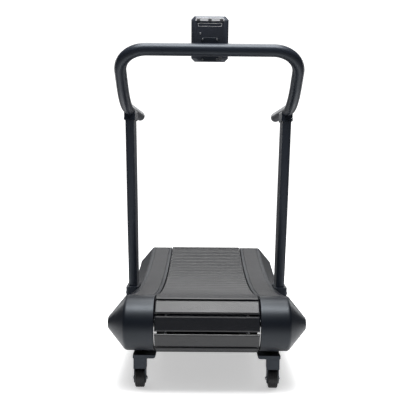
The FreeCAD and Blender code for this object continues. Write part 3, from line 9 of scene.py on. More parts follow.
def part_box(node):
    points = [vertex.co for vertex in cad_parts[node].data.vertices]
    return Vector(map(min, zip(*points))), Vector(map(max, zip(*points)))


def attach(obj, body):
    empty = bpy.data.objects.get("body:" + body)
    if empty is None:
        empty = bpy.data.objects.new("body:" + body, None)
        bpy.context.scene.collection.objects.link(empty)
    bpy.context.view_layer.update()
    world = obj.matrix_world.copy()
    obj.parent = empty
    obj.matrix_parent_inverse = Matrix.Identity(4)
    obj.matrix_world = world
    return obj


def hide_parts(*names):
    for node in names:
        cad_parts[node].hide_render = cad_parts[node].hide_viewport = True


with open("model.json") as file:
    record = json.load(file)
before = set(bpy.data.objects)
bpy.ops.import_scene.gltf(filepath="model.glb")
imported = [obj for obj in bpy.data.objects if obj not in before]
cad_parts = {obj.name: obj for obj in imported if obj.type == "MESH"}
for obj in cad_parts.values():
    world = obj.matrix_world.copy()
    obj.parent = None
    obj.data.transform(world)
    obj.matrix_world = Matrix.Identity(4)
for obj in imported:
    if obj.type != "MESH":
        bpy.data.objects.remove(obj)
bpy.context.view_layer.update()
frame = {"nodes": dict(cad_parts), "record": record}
record = frame["record"]
joints = {joint["name"]: joint for joint in record["behaviour"]["joints"]}
bodyOfNode = {node: body for body, nodes in record["behaviour"]["bodies"].items() for node in nodes}

# measures read from the frame
beltJoint = joints["belt_travel"]
arcCentreZ = beltJoint["pos_m"][2]
drumY = joints["rear_drum_turn"]["pos_m"][1]
drumZ = joints["rear_drum_turn"]["pos_m"][2]
middleRadius = math.hypot(drumY, arcCentreZ - drumZ)
halfAngle = math.asin(drumY / middleRadius)
pulleyLow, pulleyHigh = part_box("front_pulleys")
beltSeat = 0.0043                      # pulley rim to the middle of the drive belt
beltRadius = (pulleyHigh[2] - pulleyLow[2]) / 2 + beltSeat
topPitch = math.radians(beltJoint["range_deg"][1]) * 2
topCount = round(halfAngle * 2 / topPitch)
bottomRadius = middleRadius + beltRadius
topRadius = middleRadius - beltRadius
drumCount = 5                          # slats on half a turn of a drum
bottomCount = round(halfAngle * 2 * bottomRadius / (math.pi * beltRadius / drumCount))
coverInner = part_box("top_cover_right")[0][0]
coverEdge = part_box("top_cover_right")[1][0]
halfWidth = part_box("side_skirt_right")[1][0]
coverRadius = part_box("front_drum_cover_right")[1][2] - drumZ
print("deck read:", topCount, "top slats,", bottomCount, "return slats")


def makePiece(name, points, faces, smooth=True, sharpAngle=40.0):
    # a mesh object at the origin from an array of points and lists of faces
    mesh = bpy.data.meshes.new(name)
    mesh.from_pydata(points.tolist(), [], [list(face) for face in faces])
    mesh.update()
    work = bmesh.new()
    work.from_mesh(mesh)
    bmesh.ops.remove_doubles(work, verts=work.verts, dist=1e-6)
    bmesh.ops.dissolve_degenerate(work, edges=work.edges, dist=1e-7)
    bmesh.ops.recalc_face_normals(work, faces=work.faces)
    work.to_mesh(mesh)
    work.free()
    piece = bpy.data.objects.new(name, mesh)
    bpy.context.scene.collection.objects.link(piece)
    mesh.polygons.foreach_set("use_smooth", np.full(len(mesh.polygons), smooth))
    if smooth:
        mesh.set_sharp_from_angle(angle=math.radians(sharpAngle))
    return piece


def gridFaces(rows, columns, closeColumns=True, first=0):
    # quads over a grid of points, row by row. Columns may close into a ring
    last = columns if closeColumns else columns - 1
    row, column = np.meshgrid(np.arange(rows - 1), np.arange(last), indexing="ij")
    following = (column + 1) % columns
    quads = np.stack([row * columns + column, row * columns + following,
                      (row + 1) * columns + following, (row + 1) * columns + column], axis=-1)
    return (quads.reshape(-1, 4) + first).tolist()


def ringCaps(rows, columns, first=0):
    # faces that close the first and the last ring of a tube-like grid
    start = list(range(first, first + columns))
    end = list(range(first + (rows - 1) * columns, first + rows * columns))
    return [start[::-1], end]


def roundCorners(points, radii, steps=6):
    # a closed outline whose corners are arcs, each starting radius / tan(half the corner's angle)
    # away from the corner; a radius of 0 leaves it sharp
    corners = np.asarray(points, dtype=float)
    outline = []
    for index, radius in enumerate(radii):
        corner = corners[index]
        before = corners[index - 1] - corner
        after = corners[(index + 1) % len(corners)] - corner
        if radius <= 0:
            outline.append(corner[None, :])
            continue
        before = before / np.linalg.norm(before)
        after = after / np.linalg.norm(after)
        half = math.acos(np.clip(np.dot(before, after), -1, 1)) / 2
        reach = radius / math.tan(half)
        towards = (before + after) / np.linalg.norm(before + after)
        centre = corner + towards * radius / math.sin(half)
        blend = np.linspace(0, 1, steps)[:, None]
        spokeA = corner + before * reach - centre
        spokeB = corner + after * reach - centre
        turn = math.pi - 2 * half
        arc = (np.sin((1 - blend) * turn) * spokeA + np.sin(blend * turn) * spokeB) / math.sin(turn)
        outline.append(centre + arc)
    return np.concatenate(outline)


def alongDeck(profile, angles):
    # profile of (across, height over the deck's middle line) carried along the deck's arc:
    # r = middleRadius - height, y = r sin(turn), z = arcCentreZ - r cos(turn)
    radius = middleRadius - profile[None, :, 1]
    turn = angles[:, None]
    across = np.broadcast_to(profile[None, :, 0], (len(angles), len(profile)))
    return np.stack([across, radius * np.sin(turn), arcCentreZ - radius * np.cos(turn)], axis=-1)


def aroundDrum(profile, angles, end):
    # profile of (across, distance r from the drum's axis) turned about it, away from mid-length:
    # y = the drum's y + r sin(turn), z = the drum's z + r cos(turn)
    radius = profile[None, :, 1]
    turn = angles[:, None] * end
    across = np.broadcast_to(profile[None, :, 0], (len(angles), len(profile)))
    return np.stack([across, drumY * end + radius * np.sin(turn), drumZ + radius * np.cos(turn)],
                    axis=-1)


def prism(outline, axis, low, high):
    # points and faces of a straight prism: an outline in two axes carried along the third
    others = [index for index in range(3) if index != axis]
    rows = np.zeros((2, len(outline), 3))
    rows[:, :, others[0]] = outline[None, :, 0]
    rows[:, :, others[1]] = outline[None, :, 1]
    rows[0, :, axis] = low
    rows[1, :, axis] = high
    faces = gridFaces(2, len(outline)) + ringCaps(2, len(outline))
    return rows.reshape(-1, 3), faces


def joinParts(parts):
    # puts several sets of points and faces into one
    points = []
    faces = []
    count = 0
    for partPoints, partFaces in parts:
        points.append(partPoints)
        faces += [[index + count for index in face] for face in partFaces]
        count += len(partPoints)
    return np.concatenate(points), faces


def finishPiece(piece, node, slotName):
    # ride on the node's body, stand for it, and take its slot and material
    piece.data.materials.append(materials[slotName])
    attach(piece, bodyOfNode[node])
    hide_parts(node)


def newGroup(name, inputs, outputs):
    # an empty node group with named sockets on both sides
    group = bpy.data.node_groups.new(name, "ShaderNodeTree")
    for label, kind, value in inputs:
        socket = group.interface.new_socket(label, in_out="INPUT", socket_type=kind)
        if value is not None:
            socket.default_value = value
    for label, kind in outputs:
        group.interface.new_socket(label, in_out="OUTPUT", socket_type=kind)
    start = group.nodes.new("NodeGroupInput")
    end = group.nodes.new("NodeGroupOutput")
    return group, start, end


def addNode(tree, kind, settings=None, **inputs):
    # adds a node, sets its options, and fills or links its named sockets
    node = tree.nodes.new(kind)
    for key, value in (settings or {}).items():
        setattr(node, key, value)
    for key, value in inputs.items():
        socket = node.inputs[int(key[1:])] if key[0] == "_" and key[1:].isdigit() else node.inputs[key]
        if isinstance(value, bpy.types.NodeSocket):
            tree.links.new(value, socket)
        else:
            socket.default_value = value
    return node


def doMath(tree, operation, first, second=0.0, clamp=False):
    # a Math node; gives its result socket
    node = addNode(tree, "ShaderNodeMath", {"operation": operation, "use_clamp": clamp},
                   _0=first, _1=second)
    return node.outputs[0]


def makeGrainGroup():
    # moulded or sprayed grain: fine cells over a slow swell. Gives a height and a tone
    group, start, end = newGroup(
        "surfaceGrain",
        [("Vector", "NodeSocketVector", None), ("Scale", "NodeSocketFloat", 900.0),
         ("Swell", "NodeSocketFloat", 0.3)],
        [("Height", "NodeSocketFloat"), ("Tone", "NodeSocketFloat")])
    cells = addNode(group, "ShaderNodeTexVoronoi", {"feature": "F1"},
                    Vector=start.outputs["Vector"], Scale=start.outputs["Scale"])
    fine = addNode(group, "ShaderNodeTexNoise", Vector=start.outputs["Vector"],
                   Scale=doMath(group, "MULTIPLY", start.outputs["Scale"], 0.6), Detail=3.0)
    slow = addNode(group, "ShaderNodeTexNoise", Vector=start.outputs["Vector"],
                   Scale=doMath(group, "MULTIPLY", start.outputs["Scale"], 0.012), Detail=4.0)
    grain = doMath(group, "ADD", cells.outputs["Distance"], fine.outputs["Fac"])
    swell = doMath(group, "MULTIPLY", slow.outputs["Fac"], start.outputs["Swell"])
    group.links.new(doMath(group, "ADD", grain, swell), end.inputs["Height"])
    group.links.new(slow.outputs["Fac"], end.inputs["Tone"])
    return group


def makeEdgeGroup():
    # where a surface turns sharply: 0 on flats, 1 on edges, broken up by noise
    group, start, end = newGroup(
        "edgeWear",
        [("Vector", "NodeSocketVector", None), ("Width", "NodeSocketFloat", 0.0015),
         ("Amount", "NodeSocketFloat", 0.6)],
        [("Mask", "NodeSocketFloat"), ("Normal", "NodeSocketVector")])
    bevel = addNode(group, "ShaderNodeBevel", {"samples": 4}, Radius=start.outputs["Width"])
    geometry = addNode(group, "ShaderNodeNewGeometry")
    turned = addNode(group, "ShaderNodeVectorMath", {"operation": "DOT_PRODUCT"},
                     _0=bevel.outputs["Normal"], _1=geometry.outputs["Normal"])
    away = doMath(group, "SUBTRACT", 1.0, turned.outputs["Value"], clamp=True)
    strong = doMath(group, "MULTIPLY", away, 5.0, clamp=True)
    patches = addNode(group, "ShaderNodeTexNoise", Vector=start.outputs["Vector"], Scale=60.0,
                      Detail=5.0)
    broken = addNode(group, "ShaderNodeMapRange", Value=patches.outputs["Fac"])
    broken.inputs["From Min"].default_value = 0.35
    broken.inputs["From Max"].default_value = 0.7
    mask = doMath(group, "MULTIPLY", strong, broken.outputs["Result"])
    group.links.new(doMath(group, "MULTIPLY", mask, start.outputs["Amount"]), end.inputs["Mask"])
    group.links.new(bevel.outputs["Normal"], end.inputs["Normal"])
    return group


def makeDustGroup():
    # fine dust that settles on faces that look up, thinner where it is rubbed off
    group, start, end = newGroup(
        "settledDust",
        [("Vector", "NodeSocketVector", None), ("Amount", "NodeSocketFloat", 0.3)],
        [("Mask", "NodeSocketFloat")])
    geometry = addNode(group, "ShaderNodeNewGeometry")
    split = addNode(group, "ShaderNodeSeparateXYZ", Vector=geometry.outputs["Normal"])
    upward = addNode(group, "ShaderNodeMapRange", Value=split.outputs["Z"])
    upward.inputs["From Min"].default_value = 0.55
    upward.inputs["From Max"].default_value = 1.0
    patches = addNode(group, "ShaderNodeTexNoise", Vector=start.outputs["Vector"], Scale=9.0,
                      Detail=6.0)
    specks = addNode(group, "ShaderNodeTexNoise", Vector=start.outputs["Vector"], Scale=700.0,
                     Detail=2.0)
    mixed = doMath(group, "MULTIPLY", patches.outputs["Fac"], specks.outputs["Fac"])
    mask = doMath(group, "MULTIPLY", mixed, upward.outputs["Result"])
    scaled = doMath(group, "MULTIPLY", mask, start.outputs["Amount"], clamp=True)
    group.links.new(scaled, end.inputs["Mask"])
    return group


grainGroup = makeGrainGroup()
edgeGroup = makeEdgeGroup()
dustGroup = makeDustGroup()
print("node groups made")


def groupNode(tree, group, vector, **values):
    # a node group used in a material, with its values set
    node = tree.nodes.new("ShaderNodeGroup")
    node.node_tree = group
    tree.links.new(vector, node.inputs["Vector"])
    for key, value in values.items():
        node.inputs[key].default_value = value
    return node


def mixColor(tree, factor, first, second):
    # mixes two colours; factor and colours may be sockets or values
    node = tree.nodes.new("ShaderNodeMix")
    node.data_type = "RGBA"
    for socket, value in ((node.inputs[0], factor), (node.inputs[6], first), (node.inputs[7], second)):
        if isinstance(value, bpy.types.NodeSocket):
            tree.links.new(value, socket)
        else:
            socket.default_value = value
    return node.outputs[2]


plainFinish = dict(                    # a finish takes these where it has no value of its own
    swell=0.3, shade=0.75, edgeWidth=0.0015, edgeAmount=0.4, edgeShine=0.15, roughSwing=0.12,
    wornColor=(0.2, 0.2, 0.21), dust=0.25, dustDull=0.35, dustColor=(0.42, 0.41, 0.39), bump=0.3,
    bumpDepth=0.0002, metallic=0.0, specular=0.5, glint=(1.0, 1.0, 1.0), coat=0.0,
    coatRoughness=0.2, anisotropic=0.0,
)


def makeMaterial(name, ownLook):
    # a finish from its values: base and worn colours, roughness, grain, edge wear and dust
    # roughness = its value + roughSwing * (tone - 1/2) - edgeShine * edge + dustDull * dust
    look = {**plainFinish, **ownLook}
    material = bpy.data.materials.new(name)
    material.use_nodes = True
    tree = material.node_tree
    shader = tree.nodes["Principled BSDF"]
    place = addNode(tree, "ShaderNodeTexCoord").outputs["Object"]
    grain = groupNode(tree, grainGroup, place, Scale=look["grainScale"], Swell=look["swell"])
    edge = groupNode(tree, edgeGroup, place, Width=look["edgeWidth"], Amount=look["edgeAmount"])
    dust = groupNode(tree, dustGroup, place, Amount=look["dust"])
    base = (*look["color"], 1)
    shade = (*[value * look["shade"] for value in look["color"]], 1)
    toned = mixColor(tree, grain.outputs["Tone"], base, shade)
    worn = mixColor(tree, edge.outputs["Mask"], toned, (*look["wornColor"], 1))
    dusty = mixColor(tree, dust.outputs["Mask"], worn, (*look["dustColor"], 1))
    tree.links.new(dusty, shader.inputs["Base Color"])
    swing = look["roughSwing"]
    rough = doMath(tree, "MULTIPLY_ADD", grain.outputs["Tone"], swing)
    rough.node.inputs[2].default_value = look["roughness"] - swing / 2
    shinyEdge = doMath(tree, "MULTIPLY", edge.outputs["Mask"], -look["edgeShine"])
    dustRough = doMath(tree, "MULTIPLY", dust.outputs["Mask"], look["dustDull"])
    total = doMath(tree, "ADD", doMath(tree, "ADD", rough, shinyEdge), dustRough, clamp=True)
    tree.links.new(total, shader.inputs["Roughness"])
    bump = addNode(tree, "ShaderNodeBump", Height=grain.outputs["Height"],
                   Normal=edge.outputs["Normal"])
    bump.inputs["Strength"].default_value = look["bump"]
    bump.inputs["Distance"].default_value = look["bumpDepth"]
    tree.links.new(bump.outputs["Normal"], shader.inputs["Normal"])
    shader.inputs["Metallic"].default_value = look["metallic"]
    shader.inputs["Specular IOR Level"].default_value = look["specular"]
    shader.inputs["Specular Tint"].default_value = (*look["glint"], 1)
    shader.inputs["Coat Weight"].default_value = look["coat"]
    shader.inputs["Coat Roughness"].default_value = look["coatRoughness"]
    shader.inputs["Anisotropic"].default_value = look["anisotropic"]
    return material


looks = {
    "frame_paint": dict(color=(0.0140, 0.0175, 0.0260), roughness=0.36, specular=0.40,
                        glint=(0.84, 0.92, 1.0), grainScale=1500, bump=0.25,
                        bumpDepth=0.00006, edgeWidth=0.0026, edgeAmount=0.22,
                        wornColor=(0.07, 0.075, 0.085), dust=0.02),
    "cover_plastic": dict(color=(0.0042, 0.0058, 0.0098), roughness=0.38, specular=0.40,
                          glint=(0.86, 0.93, 1.0), grainScale=1100, bump=0.3,
                          bumpDepth=0.00008, edgeWidth=0.002, edgeAmount=0.25,
                          wornColor=(0.06, 0.063, 0.07), dust=0.03),
    "skirt_panel": dict(color=(0.0095, 0.0112, 0.016), roughness=0.34, grainScale=1300, bump=0.2,
                        bumpDepth=0.00006, edgeAmount=0.25, wornColor=(0.08, 0.08, 0.085),
                        dust=0.03),
    "tread_rubber": dict(color=(0.0045, 0.0055, 0.0080), roughness=0.32, specular=0.52,
                         grainScale=1400, bump=0.06, bumpDepth=0.00015, edgeWidth=0.0009, edgeAmount=0.5,
                         wornColor=(0.05, 0.052, 0.056), dust=0.05),
    "belt_rubber": dict(color=(0.007, 0.007, 0.008), roughness=0.6, grainScale=900, bump=0.4,
                        edgeAmount=0.2, dust=0.05),
    "grip_rubber": dict(color=(0.026, 0.027, 0.030), roughness=0.5, grainScale=1600, bump=0.5,
                        bumpDepth=0.0002, edgeAmount=0.4, wornColor=(0.08, 0.08, 0.085), dust=0.06),
    "wheel_rubber": dict(color=(0.013, 0.013, 0.015), roughness=0.5, grainScale=900, bump=0.4,
                         edgeWidth=0.001, edgeAmount=0.5, wornColor=(0.06, 0.06, 0.065), dust=0.12),
    "bright_steel": dict(color=(0.42, 0.43, 0.45), roughness=0.32, grainScale=1800, bump=0.2,
                         bumpDepth=0.00005, metallic=1.0, edgeAmount=0.2,
                         wornColor=(0.6, 0.6, 0.62), dust=0.05),
    "bearing_steel": dict(color=(0.56, 0.57, 0.6), roughness=0.2, grainScale=2500, bump=0.1,
                          bumpDepth=0.00003, metallic=1.0, edgeAmount=0.1, anisotropic=0.5,
                          wornColor=(0.7, 0.7, 0.72), dust=0.03),
    "pulley_alloy": dict(color=(0.5, 0.51, 0.53), roughness=0.32, grainScale=1500, bump=0.2,
                         bumpDepth=0.00005, metallic=1.0, edgeAmount=0.2,
                         wornColor=(0.7, 0.7, 0.72), dust=0.05),
    "block_iron": dict(color=(0.03, 0.03, 0.033), roughness=0.6, grainScale=500, bump=0.7,
                       bumpDepth=0.0004, edgeAmount=0.4, wornColor=(0.12, 0.12, 0.12), dust=0.1),
    "console_plastic": dict(color=(0.0280, 0.0320, 0.0440), roughness=0.42,
                            glint=(0.86, 0.93, 1.0), grainScale=1300, bump=0.4,
                            bumpDepth=0.00008, edgeAmount=0.3, edgeWidth=0.0016,
                            wornColor=(0.08, 0.08, 0.09), dust=0.02),
    "trim_plastic": dict(color=(0.80, 0.81, 0.83), roughness=0.3, grainScale=1300, bump=0.2,
                         bumpDepth=0.00005, edgeAmount=0.1, edgeWidth=0.0006,
                         wornColor=(0.6, 0.6, 0.6), shade=0.92, dust=0.05),
    "button_rubber": dict(color=(0.16, 0.165, 0.18), roughness=0.5, grainScale=1700, bump=0.3,
                          bumpDepth=0.0001, edgeAmount=0.3, edgeWidth=0.0005,
                          wornColor=(0.3, 0.3, 0.32), dust=0.05),
    "board": dict(color=(0.02, 0.12, 0.06), roughness=0.35, grainScale=1200, bump=0.3, coat=0.4,
                  edgeAmount=0.1, wornColor=(0.3, 0.25, 0.1), dust=0.02),
    "cap_plastic": dict(color=(0.010, 0.011, 0.013), roughness=0.35, grainScale=1300, bump=0.25,
                        bumpDepth=0.00006, edgeAmount=0.3, edgeWidth=0.001,
                        wornColor=(0.07, 0.07, 0.075), dust=0.02),
    "darkSteel": dict(color=(0.16, 0.165, 0.175), roughness=0.34, grainScale=1800, bump=0.2,
                      bumpDepth=0.00004, metallic=1.0, edgeWidth=0.0004, edgeAmount=0.3,
                      wornColor=(0.4, 0.4, 0.42), dust=0.02),
    "tabPlastic": dict(color=(0.09, 0.092, 0.10), roughness=0.4, grainScale=1300, bump=0.2,
                       edgeWidth=0.0006, edgeAmount=0.2, dust=0.02),
    "displayPanel": dict(color=(0.105, 0.115, 0.10), roughness=0.3, grainScale=2500, bump=0.1,
                         bumpDepth=0.00002, edgeWidth=0.0003, edgeAmount=0.0, dust=0.0),
    "displayMarks": dict(color=(0.012, 0.014, 0.014), roughness=0.3, grainScale=2500, bump=0.1,
                         bumpDepth=0.00002, edgeWidth=0.0003, edgeAmount=0.0, dust=0.0),
}
materials = {name: makeMaterial(name, look) for name, look in looks.items()}


lensLook = dict(color=(0.75, 0.78, 0.78), smearScale=40.0, smearRough=0.12, transmission=0.95,
                ior=1.45)


def makeLensMaterial(look):
    # clear window with a faint smear in its gloss
    material = bpy.data.materials.new("lens")
    material.use_nodes = True
    tree = material.node_tree
    shader = tree.nodes["Principled BSDF"]
    place = addNode(tree, "ShaderNodeTexCoord").outputs["Object"]
    smear = addNode(tree, "ShaderNodeTexNoise", Vector=place, Scale=look["smearScale"], Detail=4.0)
    rough = doMath(tree, "MULTIPLY", smear.outputs["Fac"], look["smearRough"])
    tree.links.new(rough, shader.inputs["Roughness"])
    shader.inputs["Base Color"].default_value = (*look["color"], 1)
    shader.inputs["Transmission Weight"].default_value = look["transmission"]
    shader.inputs["IOR"].default_value = look["ior"]
    return material


materials["lens"] = makeLensMaterial(lensLook)
for entry in record["subparts"]:
    node = frame["nodes"][entry["node"]]
    node.data.materials.clear()
    node.data.materials.append(materials[entry["material_slot"]])
slotOf = {entry["node"]: entry["material_slot"] for entry in record["subparts"]}
print("materials made:", len(materials))


slatLook = dict(
    length=0.432, width=0.0628, plate=0.0105, belt=0.004, edge=0.0052, skirtTaper=0.0012,
    cell=0.0047,                # half the pitch of the diamond studs
    studHeight=0.0006, margin=0.0065,
    edgeRound=0.3,              # share of the edge where its rounding turns
    ribWidth=0.018, ribDepth=0.012, ribLength=0.316, ribRound=0.002, seat=0.00015,
)


def slatShape(look):
    # one slat lying flat: x along it, y across it, z up from the drive belt's middle line
    # its top is a height field: z falls by studHeight at every other grid point, so studs stand
    # between and four slopes meet at each
    alongCount = int(round((look["length"] - 2 * look["margin"]) / look["cell"]))
    acrossCount = int(round((look["width"] - 2 * look["margin"]) / look["cell"]))
    inner = np.linspace(-look["length"] / 2 + look["margin"], look["length"] / 2 - look["margin"],
                        alongCount + 1)
    edge = look["edge"]
    turnIn = edge * look["edgeRound"]
    ends = look["length"] / 2 - np.array([0, turnIn, edge])
    stations = np.concatenate([-ends, inner, ends[::-1]])
    drop = np.concatenate([[edge, turnIn, 0], np.zeros(len(inner)), [0, turnIn, edge]])
    column = np.concatenate([[-1] * 3, np.arange(len(inner)), [-1] * 3])      # -1 is off the tread
    low = look["belt"] + look["seat"]
    high = low + look["plate"]
    half = look["width"] / 2
    across = np.linspace(-half + look["margin"], half - look["margin"], acrossCount + 1)
    left = [(-half + look["skirtTaper"], low), (-half, high - edge), (-half + turnIn, high - turnIn),
            (-half + edge, high)]
    right = [(-y, z) for y, z in left[::-1]]
    ringY = np.array([y for y, z in left] + across.tolist() + [y for y, z in right])
    ringZ = np.array([z for y, z in left] + [high] * len(across) + [z for y, z in right])
    onTop = np.concatenate([np.zeros(4), np.ones(len(across)), np.zeros(4)])
    row = np.concatenate([[0] * 4, np.arange(len(across)), [0] * 4])
    studs = (column[:, None] + row[None, :]) % 2 == 0
    inside = (column[:, None] >= 0) & (onTop[None, :] > 0)
    height = np.where(inside & ~studs, -look["studHeight"], 0.0)
    isHigh = ringZ > high - edge * 1.5
    fall = np.where(isHigh[None, :], drop[:, None], 0.0)
    grid = np.stack([np.broadcast_to(stations[:, None], height.shape),
                     np.broadcast_to(ringY[None, :], height.shape),
                     ringZ[None, :] + height - fall], axis=-1)
    faces = gridFaces(len(stations), len(ringY)) + ringCaps(len(stations), len(ringY))
    ribHalf = look["ribWidth"] / 2
    ribOutline = roundCorners([(-ribHalf, low), (-ribHalf, low - look["ribDepth"]),
                               (ribHalf, low - look["ribDepth"]), (ribHalf, low)],
                              [0, look["ribRound"], look["ribRound"], 0], 3)
    rib = prism(ribOutline, 0, -look["ribLength"] / 2, look["ribLength"] / 2)
    return joinParts([(grid.reshape(-1, 3), faces), rib])


def placeSlats(name, turns, centreY, centreZ, reach, outwards):
    # copies of the slat about an axis, with r = reach + z * outwards for each of its points:
    # new y = centre + r sin(turn) + y cos(turn), new z = centre + r cos(turn) - y sin(turn)
    points, faces = slatShape(slatLook)
    sine = np.sin(turns)[:, None]
    cosine = np.cos(turns)[:, None]
    up = reach + points[None, :, 2] * outwards
    side = points[None, :, 1]
    across = np.broadcast_to(points[None, :, 0], (len(turns), len(points)))
    placed = np.stack([across, centreY + up * sine + side * cosine,
                       centreZ + up * cosine - side * sine], axis=-1)
    return makePiece(name, *joinParts([(copy, faces) for copy in placed]), smooth=False)


def spreadTurns(pitch, count):
    # turns one pitch apart, centred on zero: (index - (count - 1) / 2) * pitch
    return (np.arange(count) - (count - 1) / 2) * pitch


drumTurns = spreadTurns(math.pi / drumCount, drumCount)
slatSets = (
    ("slats_top", math.pi - spreadTurns(halfAngle * 2 / topCount, topCount), 0, arcCentreZ, topRadius, -1),
    ("slats_bottom", math.pi - spreadTurns(halfAngle * 2 / bottomCount, bottomCount), 0, arcCentreZ,
     bottomRadius, 1),
    ("slats_front", -(math.pi / 2 - halfAngle) + drumTurns, -drumY, drumZ, beltRadius, 1),
    ("slats_rear", (math.pi / 2 - halfAngle) + drumTurns, drumY, drumZ, beltRadius, 1),
)
for nodeName, turns, centreY, centreZ, reach, outwards in slatSets:
    piece = placeSlats("tread_" + nodeName, turns, centreY, centreZ, reach, outwards)
    finishPiece(piece, nodeName, "tread_rubber")
    print("slats:", nodeName, len(piece.data.polygons), "faces")


coverLook = dict(
    wall=0.003, seam=0.0006, tipRadius=0.024, shoulder=0.020, tipRound=0.011, lip=0.018,
    lipRound=0.0032, gripInner=0.236, gripOuter=0.324, gripDepth=0.003, trayRound=0.0012,
    skirtLip=0.040, steps=8,
    sideGap=0.001, topGap=0.0004, skirtGap=0.0005,
    easeWide=0.004, easeDrop=0.0012,                 # how the skirt's slope begins
    drumStations=73, deckStations=121, topStations=61,
)
slopeEdge = coverEdge + coverLook["sideGap"]


def mirrorAcross(profile, side):
    # the profile on the left (side -1) or the right (side 1)
    return np.stack([profile[:, 0] * side, profile[:, 1]], axis=-1)


def buildShell(nodeName, profile, carry, angles):
    # a closed profile carried along its path and capped at both ends
    grid = carry(profile, angles)
    rows, columns = grid.shape[:2]
    faces = gridFaces(rows, columns) + ringCaps(rows, columns)
    piece = makePiece(nodeName + "_shell", grid.reshape(-1, 3), faces, sharpAngle=35)
    finishPiece(piece, nodeName, slotOf[nodeName])
    return piece


def drumCoverProfile(look):
    # from the inner lip over the round top, down a blunt cone to its tip, and back inside
    # the cone's inner line lies wall * sqrt(1 + rise squared) below its outer line
    wall = look["wall"]
    rise = (coverRadius - look["tipRadius"]) / (halfWidth - slopeEdge)
    drop = wall * math.hypot(1, rise)
    innerTip = halfWidth - wall
    innerTipHeight = coverRadius - (innerTip - slopeEdge) * rise - drop
    points = [
        (coverInner, coverRadius - look["lip"]),
        (coverInner, coverRadius),
        (slopeEdge, coverRadius),
        (halfWidth, look["tipRadius"]),
        (halfWidth, 0),
        (innerTip, 0),
        (innerTip, innerTipHeight),
        (slopeEdge - wall, coverRadius - wall),
        (coverInner + wall, coverRadius - wall),
        (coverInner + wall, coverRadius - look["lip"]),
    ]
    radii = [0.001, look["lipRound"], look["shoulder"], look["tipRound"], 0, 0,
             look["tipRound"] * 0.6, look["shoulder"] * 0.85, look["lipRound"] * 0.3, 0.001]
    return roundCorners(points, radii, look["steps"])


def topCoverProfile(look):
    # inner lip, flat top with a shallow tray for the grip strip, and back along the underside
    wall = look["wall"]
    tray = look["gripDepth"]
    edge = coverEdge - look["topGap"]
    points = [
        (coverInner, coverRadius - look["lip"]),
        (coverInner, coverRadius),
        (look["gripInner"], coverRadius),
        (look["gripInner"], coverRadius - tray),
        (look["gripOuter"], coverRadius - tray),
        (look["gripOuter"], coverRadius),
        (edge, coverRadius),
        (edge, coverRadius - tray - wall),
        (look["gripInner"] - wall, coverRadius - tray - wall),
        (coverInner + wall, coverRadius - wall * 2),
        (coverInner + wall, coverRadius - look["lip"]),
    ]
    small = look["trayRound"]
    radii = [0.001, look["lipRound"], small, small * 0.5, small * 0.5, small, small * 1.6, 0.001,
             0.001, 0.001, 0.001]
    return roundCorners(points, radii, 5)


def skirtProfile(look):
    # down a slope to a blunt edge, in again below, and back inside one wall thickness away
    # the slope's inner line lies wall * sqrt(1 + rise squared) below its outer line
    wall = look["wall"]
    rise = (coverRadius - look["tipRadius"]) / (halfWidth - slopeEdge)
    drop = wall * math.hypot(1, rise)
    innerTip = halfWidth - wall
    innerTipHeight = coverRadius - (innerTip - slopeEdge) * rise - drop
    lipEnd = slopeEdge - look["skirtLip"]
    points = [
        (slopeEdge - look["skirtGap"], coverRadius),
        (slopeEdge + look["easeWide"], coverRadius - look["easeDrop"]),
        (halfWidth, look["tipRadius"]),
        (halfWidth, -look["tipRadius"]),
        (slopeEdge, -coverRadius),
        (lipEnd, -coverRadius),
        (lipEnd, wall - coverRadius),
        (slopeEdge - wall, wall - coverRadius),
        (innerTip, -innerTipHeight),
        (innerTip, innerTipHeight),
        (slopeEdge - look["skirtGap"], coverRadius - drop),
    ]
    radii = [0.0008, 0.008, look["tipRound"], look["tipRound"], look["shoulder"] * 0.5, 0.001, 0.001,
             look["shoulder"] * 0.35, look["tipRound"] * 0.6, look["tipRound"] * 0.6, 0.0008]
    return roundCorners(points, radii, look["steps"])


def buildCovers(look):
    # drum covers turn half way round the drums; skirts and top covers follow the deck's arc
    deckGap = look["seam"] / middleRadius
    halfTurn = np.linspace(-math.pi / 2, math.pi / 2, look["drumStations"]) + math.pi / 2 - halfAngle
    seamTurn = look["seam"] / coverRadius
    halfTurn = np.clip(halfTurn, halfTurn[0] + seamTurn, halfTurn[-1] - seamTurn)
    for side, sideName in ((-1, "left"), (1, "right")):
        drumProfile = mirrorAcross(drumCoverProfile(look), side)
        for end, endName in ((-1, "front"), (1, "rear")):
            buildShell("%s_drum_cover_%s" % (endName, sideName), drumProfile,
                       lambda profile, angles, end=end: aroundDrum(profile, angles, end), halfTurn)
        deckAngles = np.linspace(-halfAngle + deckGap, halfAngle - deckGap, look["deckStations"])
        skirt = buildShell("side_skirt_" + sideName, mirrorAcross(skirtProfile(look), side), alongDeck,
                           deckAngles)
        notchSkirt(skirt, side, notchLook)
        topProfile = mirrorAcross(topCoverProfile(look), side)
        halves = []
        for end in (-1, 1):
            angles = np.linspace(deckGap * 1.2, halfAngle - deckGap, look["topStations"]) * end
            grid = alongDeck(topProfile, angles)
            rows, columns = grid.shape[:2]
            halves.append((grid.reshape(-1, 3), gridFaces(rows, columns) + ringCaps(rows, columns)))
        piece = makePiece("top_cover_%s_shell" % sideName, *joinParts(halves), sharpAngle=35)
        name = "top_cover_" + sideName
        finishPiece(piece, name, slotOf[name])


notchLook = dict(gap=0.001, inside=0.3385, socketDepth=0.150, uprightDepth=0.125, bottom=0.205,
                 leanFrom=0.12, top=0.40)


